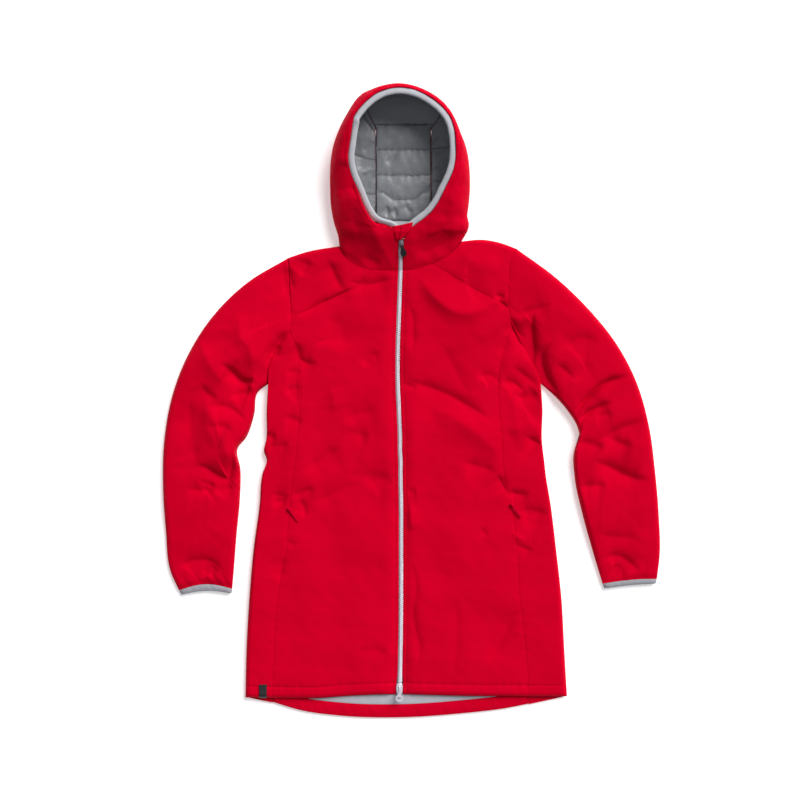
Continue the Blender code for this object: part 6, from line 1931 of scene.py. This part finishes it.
    def sliders(self) -> None:
        """Both sliders and their pulls."""
        slope = surface_turn(math.degrees(math.atan(COLLAR_RISE)), 0)
        centre = np.array([*self.top_slider, float(collar_line(self.top_slider[1])) - 1.0])
        form = Form()
        self.slider(form, centre, slope, 8.8, 12.5, 3.6, 0.62)
        form.make("top_zip_slider", DULL_ZINC, Slot.ZIP_METAL, ["top_slider"])
        heading = surface_turn(math.degrees(math.atan(COLLAR_RISE)), self.pull_heading)
        hinge = centre + slope @ np.array(self.top_hinge)
        form = Form()
        pull = HardPiece(form, hinge, heading)
        drop = teardrop(22.5, 4.8, 11.0) + [1.4, 3.6]
        middle = np.array([1.4, -10.0])
        panel = (drop - middle) * [0.62, 0.58] + middle + [0, -0.6]
        pull.loft([(drop * 0.94, -0.9), (drop, -0.45), (drop, 0.35), (drop * [0.94, 0.97] + [0, -0.3], 0.85), ((drop - middle) * 0.78 + middle, 0.95), (panel, 0.9), (panel * [0.94, 1] , 0.55)])
        form.make("moulded_top_pull", BLACK_RUBBER, Slot.PULL_RUBBER, ["top_pull"], body="top_tab")

        level = surface_turn(0, 0)
        base = np.array(self.bottom_slider)
        form = Form()
        self.slider(form, base, level, 11.4, 19, 5.5, 0.72)
        form.make("bottom_zip_slider", SATIN_ZINC, Slot.ZIP_METAL, ["bottom_slider"])
        form = Form()
        ring = HardPiece(form, base + np.array(self.bottom_hinge), level)
        self.ring_pull(ring)
        form.make("ring_zip_pull", SATIN_ZINC, Slot.ZIP_METAL, ["bottom_pull"], body="bottom_tab")

    def ring_pull(self, piece: HardPiece) -> None:
        """Short pull: a stem at the hinge and a broad ring with an oval eye."""
        angle = np.pi / 2 + np.linspace(0, 2 * np.pi, 49)[:-1]
        centre = np.array([0.0, -11.5])
        outer = np.column_stack([7.2 * np.cos(angle), 6.8 * np.sin(angle)]) + centre
        stem = bell(np.abs(((angle - np.pi / 2 + np.pi) % (2 * np.pi)) - np.pi), 0.28)
        outer[:, 1] += stem * 4.6
        inner = np.column_stack([4.4 * np.cos(angle), 2.6 * np.sin(angle)]) + centre
        rings = [(outer, -0.5), (outer * [0.97, 1.0], -0.9), (inner, -0.9), (inner * [0.96, 1.0], 0.0), (inner, 0.9), (outer * [0.97, 1.0], 0.9), (outer, 0.5)]
        loops = np.stack([np.column_stack([r, np.full(len(r), z)]) for r, z in rings], axis=1)
        ids = piece.form.lay(piece.place(loops))
        ids = np.concatenate([ids, ids[:1]])
        loops = np.concatenate([loops, loops[:1]])
        ring_skin(piece.form, ids, loops)


@dataclass
class Pockets:
    """Hand pockets in the princess seams: a slider and a pull for each."""

    places: dict[Side, tuple[float, float, float]] = field(
        default_factory=lambda: {Side.LEFT: (-203.0, 338.0, 37.0), Side.RIGHT: (203.5, 346.0, 38.0)}
    )
    hinge: tuple[float, float, float] = (0.0, -4.9, 1.3)

    def build(self) -> None:
        """Builds both pockets' hardware."""
        zip_parts = FrontZip()
        for side, (x, y, heading) in self.places.items():
            turn = surface_turn(0, heading)
            centre = np.array([x, y, BODY_TOP + 1.6])
            form = Form()
            body = HardPiece(form, centre, turn)
            outline = slider_outline(5.6, 9, 0.7)
            body.loft([(outline * 0.9, -1.2), (outline, -0.8), (outline, 0.2), (outline * 0.94, 0.6), (outline * 0.8, 0.8)])
            t = np.linspace(0, np.pi, 15)
            body.tube(np.column_stack([np.zeros(15), -2.8 * np.cos(t), 0.5 + 1.9 * np.sin(t) ** 0.5]), (0.4, 0.95), 10)
            name = "pocket_slider_" + side.value
            form.make("red_" + name, RED_LACQUER, Slot.RED_METAL, [name])
            form = Form()
            tab = HardPiece(form, centre + turn @ np.array(self.hinge) - [0.0, 0.0, 1.5], turn)
            corners = [(1.8, 0), (1.9, -4), (1.9, -19), (1.3, -22.5), (-1.3, -22.5), (-1.9, -19), (-1.9, -4), (-1.8, 0)]
            outline = round_outline(np.array(corners, float), 48, 0.4)
            tab.loft([(outline * [0.9, 0.98], -0.8), (outline, -0.5), (outline, 0.4), (outline * [0.9, 0.98], 0.75), (outline * [0.55, 0.9] + [0, -1.0], 0.8), (outline * [0.5, 0.88] + [0, -1.2], 0.6)])
            name = "pocket_pull_" + side.value
            form.make("red_" + name, RED_LACQUER, Slot.RED_METAL, [name], body="pocket_tab_" + side.value)


# ------------------------------------------------------------------ hem tab


@dataclass
class HemTab:
    """Small bare black tab folded over the hem."""

    low_x: float = -258.0
    high_x: float = -244.0
    low_y: float = -6.0
    high_y: float = 19.0

    def build(self) -> None:
        """Builds the tab."""
        t, s = graded(21, 0.3)[:, None], graded(13, 0.6)[None, :]
        y = self.low_y + (self.high_y - self.low_y) * t + 0 * s
        x = self.low_x + (self.high_x - self.low_x) * s + 0 * t
        base = rolled(y + 6.8, HEM_TOP, BODY_TOP, EDGE_ROLL) + GAP
        ease = rolled(np.minimum(s, 1 - s) * 14, 0.3, 1.0, 1.2) + 0 * t
        z = base + 1.3 * ease + 0.25 * np.sin(np.pi * s) * np.sin(2.4 * np.pi * t)
        grid = np.dstack([x, y, z])
        form = Form()
        slab(form, grid, base, 0.0, 2)
        piece = form.make("bare_hem_tab", BLACK_TAB, Slot.LABEL, ["hem_label"])
        declare_sheet(grid)


# ------------------------------------------------------------------ studio


@dataclass
class Studio:
    """Plain pale floor, soft lights and the camera straight above."""

    camera_at: tuple[float, float, float] = (-0.9, 538.4, 3000.0)
    field_mm: float = 1460.0
    field_depth: float = 2982.0
    sensor: float = 36.0
    key_tilt: float = 50.0
    key_width: float = 42.0
    key_strength: float = 4.3
    fill_watts: float = 10.0
    surround: float = 0.27

    def build(self) -> None:
        """Builds the floor, the lights and the camera."""
        self.floor()
        self.camera()
        self.key()
        self.fill()
        # Plain sRGB view: a filmic one would grey the coat's strong red
        bpy.context.scene.view_settings.view_transform = "Standard"
        world = bpy.data.worlds.new("soft_white_surround")
        bpy.context.scene.world = world
        world.use_nodes = True
        ground = world.node_tree.nodes["Background"]
        ground.inputs["Color"].default_value = linear("#F4F6FA")
        ground.inputs["Strength"].default_value = self.surround

    def floor(self) -> None:
        """White table top, a little below zero so that nothing flickers on it."""
        half = 40.0
        mesh = bpy.data.meshes.new("floor")
        mesh.from_pydata([(-half, -half, -1e-4), (half, -half, -1e-4), (half, half, -1e-4), (-half, half, -1e-4)], [], [(0, 1, 2, 3)])
        mesh.materials.append(WHITE_TABLE.material())
        floor = bpy.data.objects.new("floor", mesh)
        bpy.context.collection.objects.link(floor)

    def lamp(self, name: str, kind: str, towards: Vector) -> tuple[bpy.types.Light, bpy.types.Object]:
        """Adds a lamp that shines along a direction."""
        data = bpy.data.lights.new(name, kind)
        item = bpy.data.objects.new(name, data)
        item.rotation_euler = towards.to_track_quat("-Z", "Y").to_euler()
        bpy.context.collection.objects.link(item)
        return data, item

    def key(self) -> None:
        """Large far softbox from the upper right, as wide as it looks from the coat."""
        azimuth, tilt = math.radians(LIGHT_AZIMUTH), math.radians(self.key_tilt)
        towards = Vector((-math.cos(azimuth) * math.sin(tilt), -math.sin(azimuth) * math.sin(tilt), -math.cos(tilt)))
        lamp, _ = self.lamp("key_softbox", "SUN", towards)
        lamp.energy, lamp.angle = self.key_strength, math.radians(self.key_width)
        lamp.color = linear("#FFFDFB")[:3]

    def fill(self) -> None:
        """Broad soft light from above."""
        lamp, item = self.lamp("fill_softbox", "AREA", Vector((0.0, 0.0, -1.0)))
        item.location = (-0.3, -0.1, 4.0)
        lamp.shape, lamp.size, lamp.energy = "SQUARE", 4.0, self.fill_watts
        lamp.color = linear("#F6F9FF")[:3]

    def camera(self) -> None:
        """Camera straight above, with the photograph's field on the coat's upper side."""
        lens = self.sensor * self.field_depth / self.field_mm
        data = bpy.data.cameras.new("camera")
        data.sensor_width, data.lens, data.clip_end = self.sensor, lens, 20.0
        item = bpy.data.objects.new("camera", data)
        item.location = (np.array(self.camera_at) - ORIGIN) * MM
        bpy.context.collection.objects.link(item)
        bpy.context.scene.camera = item


def main() -> None:
    """Builds the coat piece by piece."""
    logging.basicConfig(level=logging.INFO, format="%(name)s: %(message)s")
    for assembly in (Studio(), Body(), Sleeves(), Hood(), FrontZip(), Pockets(), HemTab()):
        log.info("building %s", type(assembly).__name__)
        assembly.build()
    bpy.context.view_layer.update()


if __name__ == "__main__":
    main()
